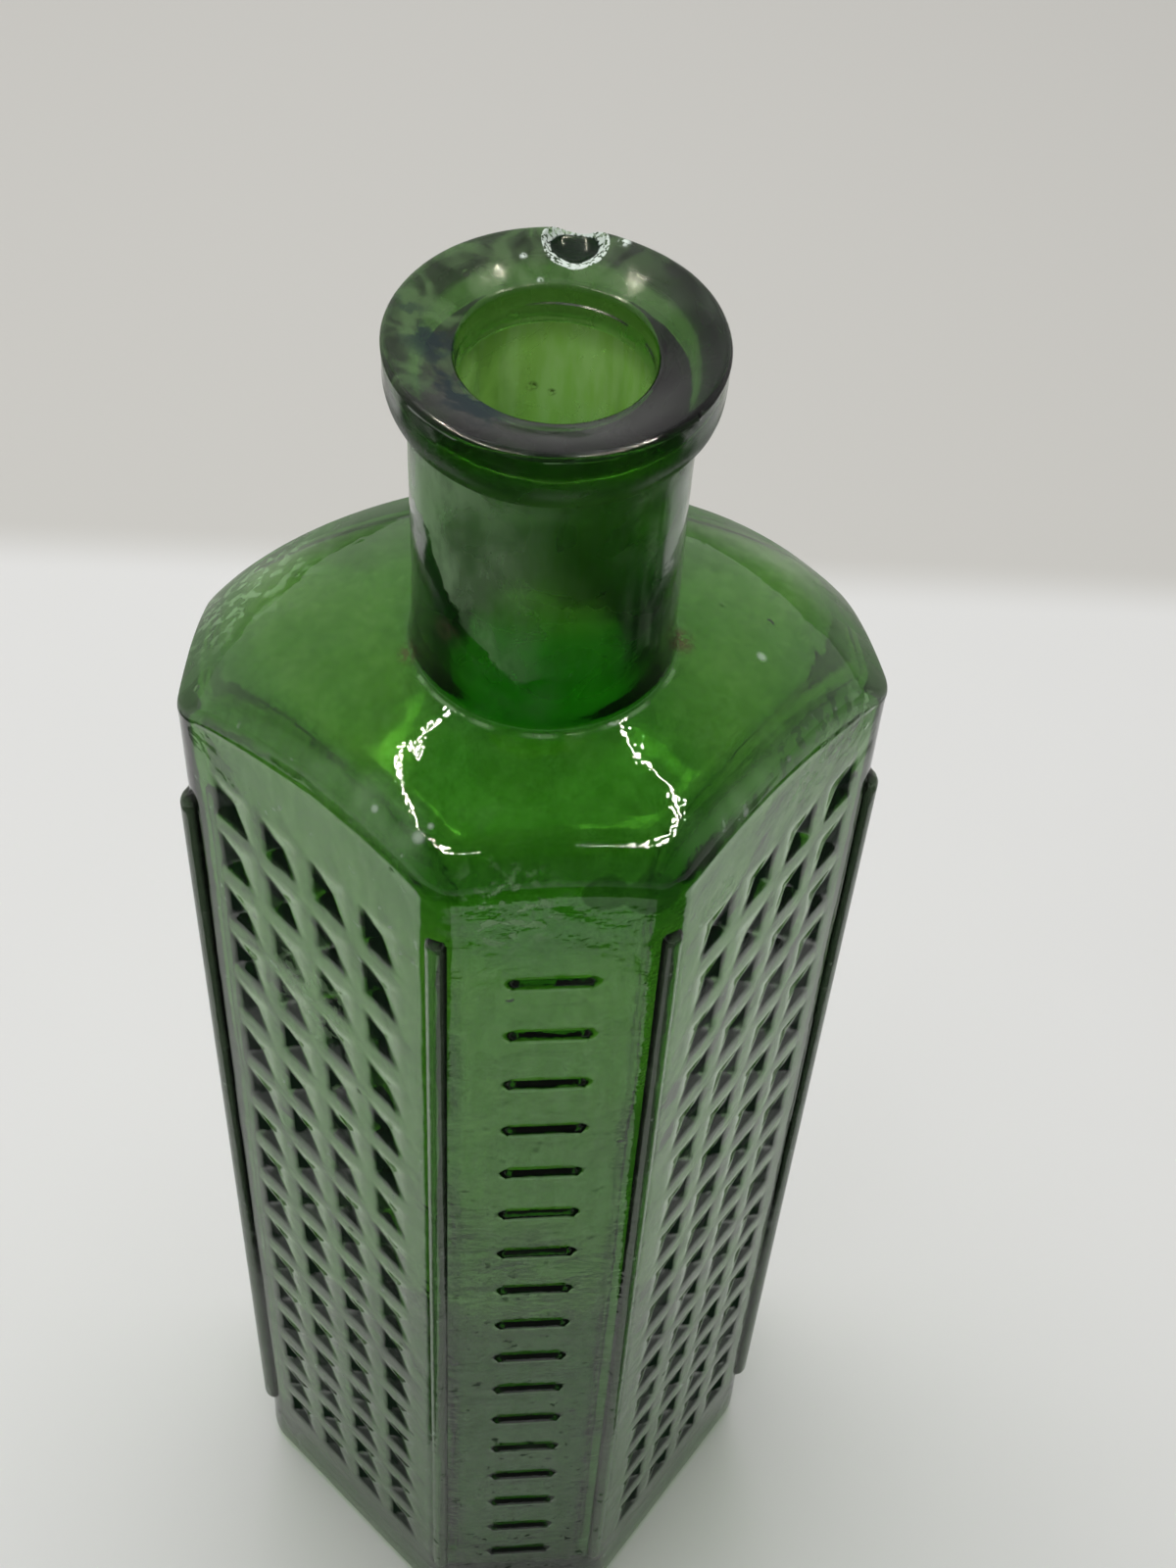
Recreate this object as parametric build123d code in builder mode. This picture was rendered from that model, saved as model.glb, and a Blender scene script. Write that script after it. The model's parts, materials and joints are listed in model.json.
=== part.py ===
from build123d import *
from math import radians, sin, sqrt
import os

# Six-sided glass poison bottle. Millimetres, +Z up, origin on the table under the neck's axis.
# The narrow front panel faces -Y and the wide plain rear panel faces +Y.

# Heights of the body's glass, from the table to the neck's foot
body_height = 193.6
base_thickness = 7.0

# Plan of the body: an irregular hexagon, mirrored left to right
front_half_width = 11.8
front_y = -26.4
side_half_width = 37.4
side_y = 3.0
rear_half_width = 34.5
rear_y = 27.0
corner_rounding = 5.2
heel_rounding = 2.4

# Glass walls and the roundings of the hollow
wall = 3.7
shoulder_wall = 4.2
inner_floor_rounding = 4.0
inner_shoulder_rounding = 4.5

# Shoulder, part of a sphere that the panels rise to
dome_radius = 51.7
shoulder_rounding = 3.8
neck_foot_rounding = 0.8

# Neck, from its foot to its sheared end
neck_length = 31.4
neck_radius = 13.1
neck_bore_radius = 9.2

# Applied lip, a ring of glass tooled over the neck's sheared end
lip_radius = 15.2
lip_bore_radius = 8.8
lip_height = 7.4
lip_band = 3.6
lip_dish = 1.9
lip_rim_land = 1.2
lip_end_depth = 6.0
lip_edge_rounding = 0.7
lip_toe = 0.3

# Chip in the rear of the rim
chip_radius = 3.5
chip_depth = 1.9
chip_axis_radius = 12.8
chip_azimuth = 79.0

# Sunken four-sided facets in rows on the two wide front panels
facet_width = 6.3
facet_length = 7.6
facet_depth = 0.8
facet_tip = 0.4
facet_pitch_across = 7.6
facet_pitch_up = 9.45
facet_top_drop = 23.0
facet_foot_margin = 15.2
facet_side_margin = 4.8

# Raised ribs down the two front corners and the two side corners
rib_foot_z = 15.5
front_rib_width = 2.4
front_rib_rise = 0.7
front_rib_drop = 16.6
side_rib_width = 3.4
side_rib_rise = 1.1
side_rib_drop = 29.6

# Plain raised bars up the front panel, in step with the rows of facets
bar_length = 9.0
bar_width = 1.9
bar_rise = 0.6
bar_draft = 25.0

# Hollow in the underside, inside the ring that the bottle stands on
foot_ring_width = 7.0
push_up_depth = 2.6
push_up_draft = 50.0

# Places that follow from the sizes above
near_zero = 0.01
neck_end = body_height + neck_length
total_height = neck_end + lip_end_depth
lip_foot = total_height - lip_height
rim_top = total_height - lip_dish
dome_centre_z = body_height - sqrt(dome_radius**2 - neck_radius**2)
front_left = Vector(-front_half_width, front_y)
front_right = Vector(front_half_width, front_y)
side_right = Vector(side_half_width, side_y)
rear_right = Vector(rear_half_width, rear_y)
rear_left = Vector(-rear_half_width, rear_y)
side_left = Vector(-side_half_width, side_y)
plan_corners = [front_left, front_right, side_right, rear_right, rear_left, side_left]
panel_width = (side_right - front_right).length
facet_top_z = body_height - facet_top_drop
facet_run = panel_width - 2 * facet_side_margin
facet_columns = int((facet_run + facet_pitch_across - facet_width) / facet_pitch_across)
facet_rows = int((facet_top_z - facet_length / 2 - facet_foot_margin) / facet_pitch_up) + 1
facet_field_z = facet_top_z - facet_pitch_up * (facet_rows - 1) / 2


def panel_plane(start, end, height):
    """Upright plane centred on one panel at a height, facing outwards."""
    along = (end - start).normalized()
    middle = (start + end) * 0.5
    return Plane(origin=(middle.X, middle.Y, height), x_dir=along, z_dir=along.cross(Vector(0, 0, 1)))


def rib_axis(before, corner, after, width, rise):
    """Axis of a corner rib, set so that the rib stands proud of the rounded corner."""
    one_side = (before - corner).normalized()
    other_side = (after - corner).normalized()
    half_angle = radians(one_side.get_angle(other_side)) / 2
    inset = corner_rounding / sin(half_angle) - corner_rounding + width / 2 - rise
    return corner + (one_side + other_side).normalized() * inset


def upper_rim(faces):
    """Edges along which the upright walls meet the dome."""
    walls = faces.filter_by(lambda face: abs(face.normal_at().Z) < near_zero)
    upper = walls.edges().filter_by(lambda edge: edge.center().Z > body_height / 2)
    return upper.filter_by(lambda edge: abs((edge % 0.5).Z) < 1 - near_zero)


left_panel = panel_plane(side_left, front_left, facet_field_z)
right_panel = panel_plane(front_right, side_right, facet_field_z)
front_panel = panel_plane(front_left, front_right, facet_field_z)
front_ribs = [
    rib_axis(side_left, front_left, front_right, front_rib_width, front_rib_rise),
    rib_axis(front_left, front_right, side_right, front_rib_width, front_rib_rise),
]
side_ribs = [
    rib_axis(front_right, side_right, rear_right, side_rib_width, side_rib_rise),
    rib_axis(rear_left, side_left, front_left, side_rib_width, side_rib_rise),
]

# Round domed blank that tops the body and, lowered by the wall, its hollow
with BuildPart() as dome:
    with BuildSketch(Plane.XZ):
        with BuildLine():
            slope = CenterArc((0, dome_centre_z), dome_radius, 0, 90)
            Polyline(slope @ 1, (0, 0), (dome_radius, 0), slope @ 0)
        make_face()
    revolve(axis=Axis.Z)

# Hollow of the body and neck
with BuildPart() as hollow:
    with BuildSketch(Plane.XY.offset(base_thickness)) as inner_plan:
        with BuildLine():
            Polyline(*plan_corners, close=True)
        make_face()
        fillet(inner_plan.vertices(), corner_rounding + wall)
        offset(amount=-wall)
    extrude(amount=body_height - base_thickness)
    with Locations((0, 0, -shoulder_wall)):
        add(dome.part, mode=Mode.INTERSECT)
    fillet(hollow.edges().group_by(Axis.Z)[0], inner_floor_rounding)
    fillet(upper_rim(hollow.faces()), inner_shoulder_rounding)
    with BuildSketch(Plane.XY.offset(neck_end)):
        Circle(neck_bore_radius)
    extrude(amount=-(neck_length + 2 * shoulder_wall))

# One four-sided facet, sunk below the plane of its panel
with BuildPart() as facet:
    with BuildSketch():
        Rectangle(facet_width, facet_length)
    with BuildSketch(Plane.XY.offset(-facet_depth)):
        Rectangle(facet_tip, facet_tip)
    loft(ruled=True)

# Blown body: panels, shoulder and neck up to its sheared end
with BuildPart() as glass_body:
    with BuildSketch() as plan:
        with BuildLine():
            Polyline(*plan_corners, close=True)
        make_face()
        fillet(plan.vertices(), corner_rounding)
    extrude(amount=body_height)
    add(dome.part, mode=Mode.INTERSECT)
    fillet(upper_rim(glass_body.faces()), shoulder_rounding)
    fillet(glass_body.edges().group_by(Axis.Z)[0], heel_rounding)
    with BuildSketch(Plane.XY.offset(body_height)):
        Circle(neck_radius)
    extrude(amount=neck_length)
    circles = glass_body.edges().filter_by(GeomType.CIRCLE)
    neck_foot = circles.filter_by(lambda edge: abs(edge.center().Z - body_height) < near_zero)
    fillet(neck_foot, neck_foot_rounding)
    add(hollow.part, mode=Mode.SUBTRACT)
    with BuildSketch():
        add(plan.sketch)
        offset(amount=-foot_ring_width)
    extrude(amount=push_up_depth, taper=push_up_draft, mode=Mode.SUBTRACT)
    with Locations(left_panel, right_panel):
        with GridLocations(facet_pitch_across, facet_pitch_up, facet_columns, facet_rows):
            add(facet.part, mode=Mode.SUBTRACT)
    with BuildSketch(front_panel):
        with GridLocations(0, facet_pitch_up, 1, facet_rows):
            SlotOverall(bar_length, bar_width)
    extrude(amount=bar_rise, taper=bar_draft)
    for axes, width, drop in (
        (front_ribs, front_rib_width, front_rib_drop),
        (side_ribs, side_rib_width, side_rib_drop),
    ):
        top = body_height - drop
        with BuildSketch(Plane.XY.offset(rib_foot_z)):
            with Locations(*axes):
                Circle(width / 2)
        extrude(amount=top - rib_foot_z)
        with Locations(*[(axis.X, axis.Y, end) for axis in axes for end in (rib_foot_z, top)]):
            Sphere(width / 2)
glass_body.part.label = "glass_body"

# Applied lip with its dished top, straight band and rounded underside
with BuildPart() as applied_lip:
    with BuildSketch(Plane.XZ) as lip_section:
        with BuildLine():
            Polyline(
                (neck_radius, lip_foot),
                (neck_radius, neck_end),
                (lip_bore_radius, neck_end),
                (lip_bore_radius, rim_top),
                (lip_radius - lip_rim_land, total_height),
                (lip_radius, total_height),
                (lip_radius, total_height - lip_band),
            )
            Spline(
                (lip_radius, total_height - lip_band),
                (neck_radius + lip_toe, lip_foot),
                tangents=[(0, -1), (-1, -1)],
            )
            Line((neck_radius + lip_toe, lip_foot), (neck_radius, lip_foot))
        make_face()
        rim_corners = lip_section.vertices().filter_by(lambda corner: corner.Y > rim_top - lip_edge_rounding)
        fillet(rim_corners, lip_edge_rounding)
    revolve(axis=Axis.Z)
    with PolarLocations(chip_axis_radius, 1, start_angle=chip_azimuth):
        with Locations((0, 0, total_height + chip_radius - chip_depth)):
            Sphere(chip_radius, mode=Mode.SUBTRACT)
applied_lip.part.label = "applied_lip"

os.makedirs("parts", exist_ok=True)
export_step(glass_body.part, "parts/glass_body.step")
export_step(applied_lip.part, "parts/applied_lip.step")
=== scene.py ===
"""Six-sided poison bottle in green glass, dressed over its CAD frame.

Metres, +Z up, origin on the table under the neck's axis. The narrow front panel faces -Y.
Shapes are worked out in millimetres and written to the meshes in metres.
"""
from __future__ import annotations

import json
import logging
import math
from dataclasses import dataclass, field
from enum import Enum
from functools import cached_property
from typing import Mapping, Sequence, Union

import bpy
import numpy as np
from mathutils import Matrix, Vector, noise

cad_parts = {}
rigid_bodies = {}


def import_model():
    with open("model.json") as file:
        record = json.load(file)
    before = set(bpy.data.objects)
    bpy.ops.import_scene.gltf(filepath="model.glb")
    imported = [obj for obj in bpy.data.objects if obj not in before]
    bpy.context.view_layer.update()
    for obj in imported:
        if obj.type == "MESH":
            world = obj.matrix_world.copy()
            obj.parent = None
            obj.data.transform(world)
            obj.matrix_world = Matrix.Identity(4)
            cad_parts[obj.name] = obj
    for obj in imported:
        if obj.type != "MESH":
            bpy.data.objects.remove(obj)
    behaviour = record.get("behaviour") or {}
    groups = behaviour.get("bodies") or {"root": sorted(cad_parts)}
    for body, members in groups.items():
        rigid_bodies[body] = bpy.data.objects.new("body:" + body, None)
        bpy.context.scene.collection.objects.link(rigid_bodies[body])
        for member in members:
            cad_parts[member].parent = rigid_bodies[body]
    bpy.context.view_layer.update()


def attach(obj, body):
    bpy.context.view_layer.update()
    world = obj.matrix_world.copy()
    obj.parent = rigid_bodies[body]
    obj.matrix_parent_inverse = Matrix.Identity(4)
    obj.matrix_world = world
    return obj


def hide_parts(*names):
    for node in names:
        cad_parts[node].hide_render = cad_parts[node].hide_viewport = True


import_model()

log = logging.getLogger("bottle")
MM = 0.001
CREASE = 38.0
Array = np.ndarray
Number = Union[float, "Value"]
Colour = tuple[float, float, float, float]
Span = tuple[float, float]
Waves = tuple[tuple[float, float, float], ...]


class Mark(Enum):
    """Names of the numbers that a mesh carries for its material."""

    SEAM = "seam"
    INSIDE = "inside"
    PIT = "pit"
    CREST = "crest"
    CHIP = "chip"
    # SHADE: where shade is painted with the near-black film
    SHADE = "shade"
    # RIM: where the rear rim is painted dark green
    RIM = "rim"


class Value:
    """A number, colour or vector on a shader socket. Python's operators add Math nodes for numbers."""

    def __init__(self, graph: "Graph", socket: bpy.types.NodeSocket) -> None:
        """Keeps the graph and the socket."""
        self.graph = graph
        self.socket = socket

    def other(self, name: str) -> "Value":
        """Another output of the same node."""
        return Value(self.graph, self.socket.node.outputs[name])

    def _math(self, operation: str, *operands: Number, clamp: bool = False) -> "Value":
        """One Math node on the operands."""
        settings = {"operation": operation, "use_clamp": clamp}
        return self.graph.node("ShaderNodeMath", settings, dict(enumerate(operands)))

    def __add__(self, other: Number) -> "Value":
        """Sum."""
        return self._math("ADD", self, other)

    def __sub__(self, other: Number) -> "Value":
        """Difference."""
        return self._math("SUBTRACT", self, other)

    def __rsub__(self, other: Number) -> "Value":
        """Difference, the other way round."""
        return self._math("SUBTRACT", other, self)

    def __mul__(self, other: Number) -> "Value":
        """Product."""
        return self._math("MULTIPLY", self, other)

    def __abs__(self) -> "Value":
        """Absolute value."""
        return self._math("ABSOLUTE", self)

    __radd__ = __add__
    __rmul__ = __mul__

    def clamped(self) -> "Value":
        """The number kept between 0 and 1."""
        return self._math("ADD", self, 0.0, clamp=True)

    def largest(self, other: Number) -> "Value":
        """The larger of two numbers."""
        return self._math("MAXIMUM", self, other)

    def smallest(self, other: Number) -> "Value":
        """The smaller of two numbers."""
        return self._math("MINIMUM", self, other)

    def step(self, low: float, high: float) -> "Value":
        """A smooth step.

        Args:
            low: Where the result is 0.
            high: Where the result is 1. It may lie below low.

        Returns:
            A number from 0 to 1.
        """
        settings = {"interpolation_type": "SMOOTHSTEP"}
        if low <= high:
            return self.graph.node("ShaderNodeMapRange", settings, {0: self, 1: low, 2: high})
        return self.graph.node("ShaderNodeMapRange", settings, {0: self, 1: high, 2: low, 3: 1.0, 4: 0.0})


@dataclass(frozen=True)
class Patch:
    """A soft round patch on the glass. Millimetres."""

    centre: tuple[float, float, float]
    reach: float
    strength: float = 1.0
    core: float = 0.2


@dataclass(frozen=True)
class Grain:
    """Soft noise from 0 to 1. With a span it is 0 up to the span's first number and 1 from its second on."""

    size: float
    detail: float = 2.0
    stretch: tuple[float, float, float] = (1, 1, 1)
    shift: float = 0.0
    warp: float = 0.0
    span: Span | None = None


class Graph:
    """The node tree of one material or world."""

    def __init__(self, tree: bpy.types.NodeTree) -> None:
        """Empties the tree and keeps it."""
        tree.nodes.clear()
        self.tree = tree

    def node(
        self,
        kind: str,
        settings: Mapping[str, object] | None = None,
        inputs: Mapping[str | int, object] | None = None,
        output: str | int = 0,
    ) -> Value:
        """Adds one node.

        Args:
            kind: The node's type.
            settings: Properties set before the sockets.
            inputs: Values or links by socket name or index.
            output: The output to return.

        Returns:
            The chosen output, or an empty value for a node with none.
        """
        made = self.tree.nodes.new(kind)
        for name, setting in (settings or {}).items():
            setattr(made, name, setting)
        for name, given in (inputs or {}).items():
            if isinstance(given, Value):
                self.tree.links.new(given.socket, made.inputs[name])
            else:
                made.inputs[name].default_value = given
        return Value(self, made.outputs[output] if len(made.outputs) else None)

    def vector(self, operation: str, *operands: object, output: str = "Vector") -> Value:
        """One Vector Math node on the operands."""
        return self.node("ShaderNodeVectorMath", {"operation": operation}, dict(enumerate(operands)), output)

    @cached_property
    def place(self) -> Value:
        """The point's place on the object, in metres."""
        return self.node("ShaderNodeTexCoord", output="Object")

    def _axis(self, name: str) -> Value:
        """One coordinate of the place, in millimetres."""
        return self.node("ShaderNodeSeparateXYZ", None, {0: self.place}, name) * (1 / MM)

    @cached_property
    def across(self) -> Value:
        """How far the point lies to the right of the neck's axis, in millimetres."""
        return self._axis("X")

    @cached_property
    def back(self) -> Value:
        """How far the point lies behind the neck's axis, in millimetres."""
        return self._axis("Y")

    @cached_property
    def height(self) -> Value:
        """How far the point lies above the table, in millimetres."""
        return self._axis("Z")

    @cached_property
    def reach(self) -> Value:
        """The point's distance from the neck's axis, in millimetres."""
        return self.vector("LENGTH", self.vector("MULTIPLY", self.place, (1, 1, 0)), output="Value") * (1 / MM)

    @cached_property
    def inside(self) -> Value:
        """1 on the walls of the hollow and the bore, 0 elsewhere."""
        return self.mark(Mark.INSIDE)

    @cached_property
    def outside(self) -> Value:
        """0 on the walls of the hollow and the bore, 1 elsewhere."""
        return 1 - self.inside

    def mark(self, mark: Mark) -> Value:
        """A number that the mesh carries."""
        return self.node("ShaderNodeAttribute", {"attribute_name": mark.value}, output="Fac")

    def patches(self, patches: Sequence[Patch]) -> Value:
        """Soft round patches.

        Args:
            patches: The patches.

        Returns:
            Their strengths, added up.
        """
        total: Number = 0.0
        for patch in patches:
            centre = tuple(number * MM for number in patch.centre)
            away = self.vector("DISTANCE", self.place, centre, output="Value")
            total = away.step(patch.reach * MM, patch.reach * patch.core * MM) * patch.strength + total
        return total

    def grain(self, grain: Grain) -> Value:
        """Soft noise.

        Args:
            grain: Its size, detail, stretch, shift, warp and span.

        Returns:
            A number from 0 to 1.
        """
        shift = (grain.shift, grain.shift * 0.7, -grain.shift)
        moved = self.vector("MULTIPLY_ADD", self.place, grain.stretch, shift)
        inputs = {"Vector": moved, "Scale": 1 / MM / grain.size, "Detail": grain.detail, "Distortion": grain.warp}
        made = self.node("ShaderNodeTexNoise", None, inputs)
        return made.step(*grain.span) if grain.span else made

    def blend(self, factor: Number, first: object, second: object) -> Value:
        """A mix of two colours."""
        return self.node("ShaderNodeMix", {"data_type": "RGBA"}, {0: factor, 6: first, 7: second}, 2)

    def bump(self, height: Value, depth: float, below: Value | None = None) -> Value:
        """A bump.

        Args:
            height: The bump's height as a share of its depth.
            depth: Its depth in millimetres.
            below: Another bump that it lies on.

        Returns:
            The normal.
        """
        inputs: dict[str | int, object] = {"Height": height, "Distance": depth * MM, "Strength": 1.0}
        if below is not None:
            inputs["Normal"] = below
        return self.node("ShaderNodeBump", None, inputs)

    def layered(self, factor: Number, below: Value, above: Value) -> Value:
        """A Mix Shader."""
        return self.node("ShaderNodeMixShader", None, {0: factor, 1: below, 2: above})


def new_graph(name: str) -> tuple[bpy.types.Material, Graph]:
    """Makes an empty material.

    Args:
        name: The material's name.

    Returns:
        The material and its graph.
    """
    material = bpy.data.materials.new(name)
    material.use_nodes = True
    return material, Graph(material.node_tree)


def link(made: bpy.types.Object) -> bpy.types.Object:
    """Links an object to the scene."""
    bpy.context.scene.collection.objects.link(made)
    return made


@dataclass(frozen=True)
class BottleGlass:
    """Green bottle glass: a clear rough-edged surface over a volume that drinks red and blue."""

    name: str
    tint: Colour = (0.30, 0.62, 0.0, 1.0)
    density: float = 440.0
    index: float = 1.5
    shadow: Colour = (0.90, 0.94, 0.90, 1)

    # Tints of the clear surface, over the colour of the glass's volume
    deep: Colour = (0.74, 0.90, 0.62, 1)
    clear: Colour = (1.0, 1.0, 0.95, 1)
    thick_tint: Colour = (0.02, 0.44, 0.01, 1)
    foot_tint: Colour = (0.0, 0.28, 0.0, 1)
    # Painted shade: a darker, greener tint over the rear of the shoulder
    rear_shade_tint: Colour = (0.58, 0.78, 0.60, 1)
    stained: Colour = (0.62, 0.78, 0.30, 1)
    unstained: Colour = (1.0, 1.0, 0.90, 1)

    # Opaque films over the clear surface: haze, dirt and white, the near-black painted shade, and the dark green
    # painted shade of the rear rim
    # The haze's colour, also used for the painted highlights
    haze: Colour = (0.34, 0.54, 0.29, 1.0)
    dirt: Colour = (0.10, 0.07, 0.04, 1.0)
    white: Colour = (0.66, 0.74, 0.68, 1.0)
    # The near-black film is painted shade, laid where the glass should look dark
    painted_shade: Colour = (0.010, 0.020, 0.012, 1.0)
    # Painted dark green over the rear rim, standing in for its shade
    rim_shade_green: Colour = (0.060, 0.140, 0.045, 1.0)
    painted_shade_rough: float = 0.3

    # Heights and places on the bottle, in millimetres
    front: Span = (-25.2, -25.9)
    pressed: Span = (184.0, 168.0)
    low_wall: Span = (176.0, 40.0)
    upper_wall: Span = (176.0, 190.0)
    shoulder_back: Span = (6.0, 20.0)
    shoulder_side: Span = (164.0, 176.0)
    neck: Span = (194.0, 198.0)
    neck_bottom: Span = (192.5, 194.5)
    neck_fade: Span = (218.5, 205.0)
    under_lip: Span = (217.0, 222.0)
    lip_bottom: Span = (228.2, 227.0)
    # Painted shade round the neck's top, under the lip
    neck_shade: Span = (219.5, 223.0)
    film_edge: float = 200.5
    film_rise: float = 15.0
    film_ragged: float = 9.0

    # Noises
    ragged: Grain = Grain(4.0, 5.0, shift=0.12)
    highlight_streaks: Grain = Grain(1.3, 3.0, (1, 1, 0.14), 0.44, span=(0.42, 0.7))
    mottle: Grain = Grain(3.6, 5.0, (1, 1, 0.5), 0.52, span=(0.35, 0.65))
    film_cloud: Grain = Grain(9.0, 4.0, shift=0.31, span=(0.56, 0.86))
    scuffing: Grain = Grain(1.5, 5.0, shift=0.77, span=(0.5, 0.6))
    highlight_edge: Grain = Grain(5.0, 3.0, shift=0.58, span=(0.25, 0.6))
    pitting: Grain = Grain(2.2, 3.0, shift=0.9, span=(0.70, 0.80))
    fleck_edge: Grain = Grain(0.8, 3.0, shift=0.21, span=(0.36, 0.52))
    specks: Grain = Grain(1.5, 4.0, shift=0.63, span=(0.62, 0.72))
    wear_and_shade: Grain = Grain(2.6, 3.0, shift=0.37, span=(0.3, 0.6))
    scratches: Grain = Grain(1.4, 4.0, shift=0.5, span=(0.62, 0.76))
    painted_rim_green: Grain = Grain(5.0, 4.0, shift=0.26, span=(0.35, 0.65))
    cloud: Grain = Grain(9.0, 4.0, shift=0.8, warp=1.2, span=(0.3, 0.7))
    stain: Grain = Grain(1.8, 4.0, (1, 1, 0.2), 0.15, span=(0.35, 0.68))
    smear: Grain = Grain(6.0, 3.0, shift=0.6, span=(0.45, 0.85))

    # Relief: noises and their depths in millimetres
    slow_waves: Grain = Grain(14.0, 1.5, warp=0.6)
    slow_depth: float = 0.22
    quick_waves: Grain = Grain(3.2, 2.0, shift=0.2)
    quick_depth: float = 0.05
    hammering: Grain = Grain(1.7, 3.0, shift=0.29)
    hammer_depth: float = 0.08
    skin: Grain = Grain(0.5, 0.5, shift=0.66)
    skin_depth: float = 0.0072
    seed_depth: float = 0.10
    seed_scale: float = 150.0
    seed_size: Span = (0.085, 0.02)
    seed_chance: Span = (0.52, 0.56)

    # Patches
    scuffs: tuple[Patch, ...] = (
        Patch((-5.0, -26.0, 182.5), 8.0),
        Patch((27.0, -8.5, 181.0), 7.0),
        Patch((33.0, -2.0, 180.0), 6.0),
        Patch((-30.0, 18.0, 181.0), 14.0, 0.6),
        Patch((16.8, -20.7, 176.0), 4.0),
        Patch((-24.6, -11.7, 147.0), 12.0, 0.5),
    )
    flecks: tuple[Patch, ...] = (
        Patch((-1.2, 9.0, 217.0), 0.8),
        Patch((0.6, 9.1, 216.2), 0.6),
        Patch((-4.2, 8.2, 213.0), 0.7),
        Patch((13.4, -1.8, 193.8), 2.2, 0.8),
        Patch((-13.2, -2.5, 193.6), 1.8, 0.6),
        Patch((10.7, -5.4, 200.0), 1.8, 0.6),
        Patch((-9.8, -8.4, 203.0), 2.4, 0.4),
    )
    grained: tuple[Patch, ...] = (Patch((0.0, -17.0, 191.0), 20.0, 1.0, 0.7),)
    thick: tuple[Patch, ...] = (Patch((0.0, -19.0, 189.0), 23.0, 1.0, 0.5),)
    # Painted shade: a dark patch at the top of the front panel
    shade_patch: tuple[Patch, ...] = (
        Patch((4.6, -26.0, 185.2), 2.6, 1.0, 0.8),
        Patch((9.0, -25.9, 184.6), 3.0, 1.0, 0.8),
    )
    # Painted highlights: pale glows at the sides of the shoulder's rim
    pale: tuple[Patch, ...] = (
        Patch((-14.2, -20.2, 188.7), 3.6),
        Patch((-17.6, -17.2, 188.8), 4.2),
        Patch((-21.5, -13.4, 188.4), 4.0, 0.7),
        Patch((17.4, -18.6, 187.0), 4.0),
        Patch((20.6, -15.2, 187.2), 3.6, 0.7),
    )
    bubbles: tuple[Patch, ...] = (
        Patch((-12.9, -21.4, 188.7), 0.9),
        Patch((-11.7, -20.6, 189.3), 0.5),
        Patch((-16.9, -17.9, 188.8), 0.6),
        Patch((21.8, -1.3, 190.3), 0.8),
        Patch((18.7, -18.1, 186.7), 0.7),
        Patch((3.2, -21.6, 188.9), 0.4),
    )

    def _haze(self, graph: Graph) -> Value:
        """Where a thin pale film lies: ragged round the neck, in clouds and on scuffed and raised places. Painted
        highlights lie in it too: pale stripes down the neck's right, pale patches at the sides of the shoulder's
        rim and a broken pale ring along the neck's foot.

        Args:
            graph: The material's graph.

        Returns:
            The film's share, from 0 to 1.
        """
        ragged = (graph.grain(self.ragged) - 0.5) * self.film_ragged
        edge = self.film_edge + self.film_rise * graph.across.step(-4.0, -15.0) + ragged
        above = (graph.height - edge).step(-0.3, 0.4)
        left = 0.46 * graph.across.step(2.0, -11.0) * (0.45 + 0.9 * graph.grain(self.mottle))
        # painted highlight: pale stripes down the neck's right side
        right = 0.20 * graph.across.step(5.0, 9.0) * graph.grain(self.highlight_streaks)
        neck = above * (0.01 + left + right)
        cloud = graph.grain(self.film_cloud) * (0.14 - 0.11 * graph.inside)
        scuffed = graph.patches(self.scuffs) * graph.grain(self.scuffing) * 0.6
        # painted highlight in pale patches at the sides of the shoulder's rim
        pale = graph.patches(self.pale) * graph.grain(self.highlight_edge) * 0.24
        # raised edges, with the painted highlight along the neck's foot
        raised = graph.mark(Mark.CREST) * 0.15
        return ((neck + scuffed + pale) * graph.outside + cloud + raised).clamped()

    def _dirt(self, graph: Graph) -> Value:
        """Where brown dirt sits, from 0 to 1."""
        pits = graph.grain(self.pitting) * graph.mark(Mark.PIT) * 0.4
        return (pits + graph.patches(self.flecks) * graph.grain(self.fleck_edge)).clamped()

    def _shade(self, graph: Graph) -> Value:
        """Where shade is painted with the near-black film: in the facets' sunken faces, along the rear rim, in a
        patch at the top of the front panel and round the neck under the lip. It also lays dark specks on the
        front panel and a dark veil, both stronger towards the bottom.

        Args:
            graph: The material's graph.

        Returns:
            The dark film's share, from 0 to 1.
        """
        lower = graph.height.step(*self.low_wall)
        # painted shade in the facets' sunken faces and along the rear rim, a little uneven
        facets = graph.mark(Mark.SHADE) * (0.88 + 0.14 * graph.grain(self.wear_and_shade))
        specks = graph.grain(self.specks) * graph.back.step(*self.front) * (0.12 + 0.60 * lower)
        # painted shade in a patch at the top of the front panel
        shade_patch = graph.patches(self.shade_patch).smallest(1.0) * 0.4
        # painted shade round the neck's top, under the lip
        neck = graph.height.step(*self.neck_shade) * graph.outside * 0.4
        return (facets + specks + shade_patch + neck + lower * graph.outside * 0.10).clamped()

    def _scuff(self, graph: Graph) -> Value:
        """Where the glass is scratched white along its raised edges, and along the painted highlight at the
        neck's foot, from 0 to 1.
        """
        scratches = graph.grain(self.scratches) * graph.mark(Mark.CREST) * 0.35
        return (scratches + graph.patches(self.bubbles) * 0.4).clamped()

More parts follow.
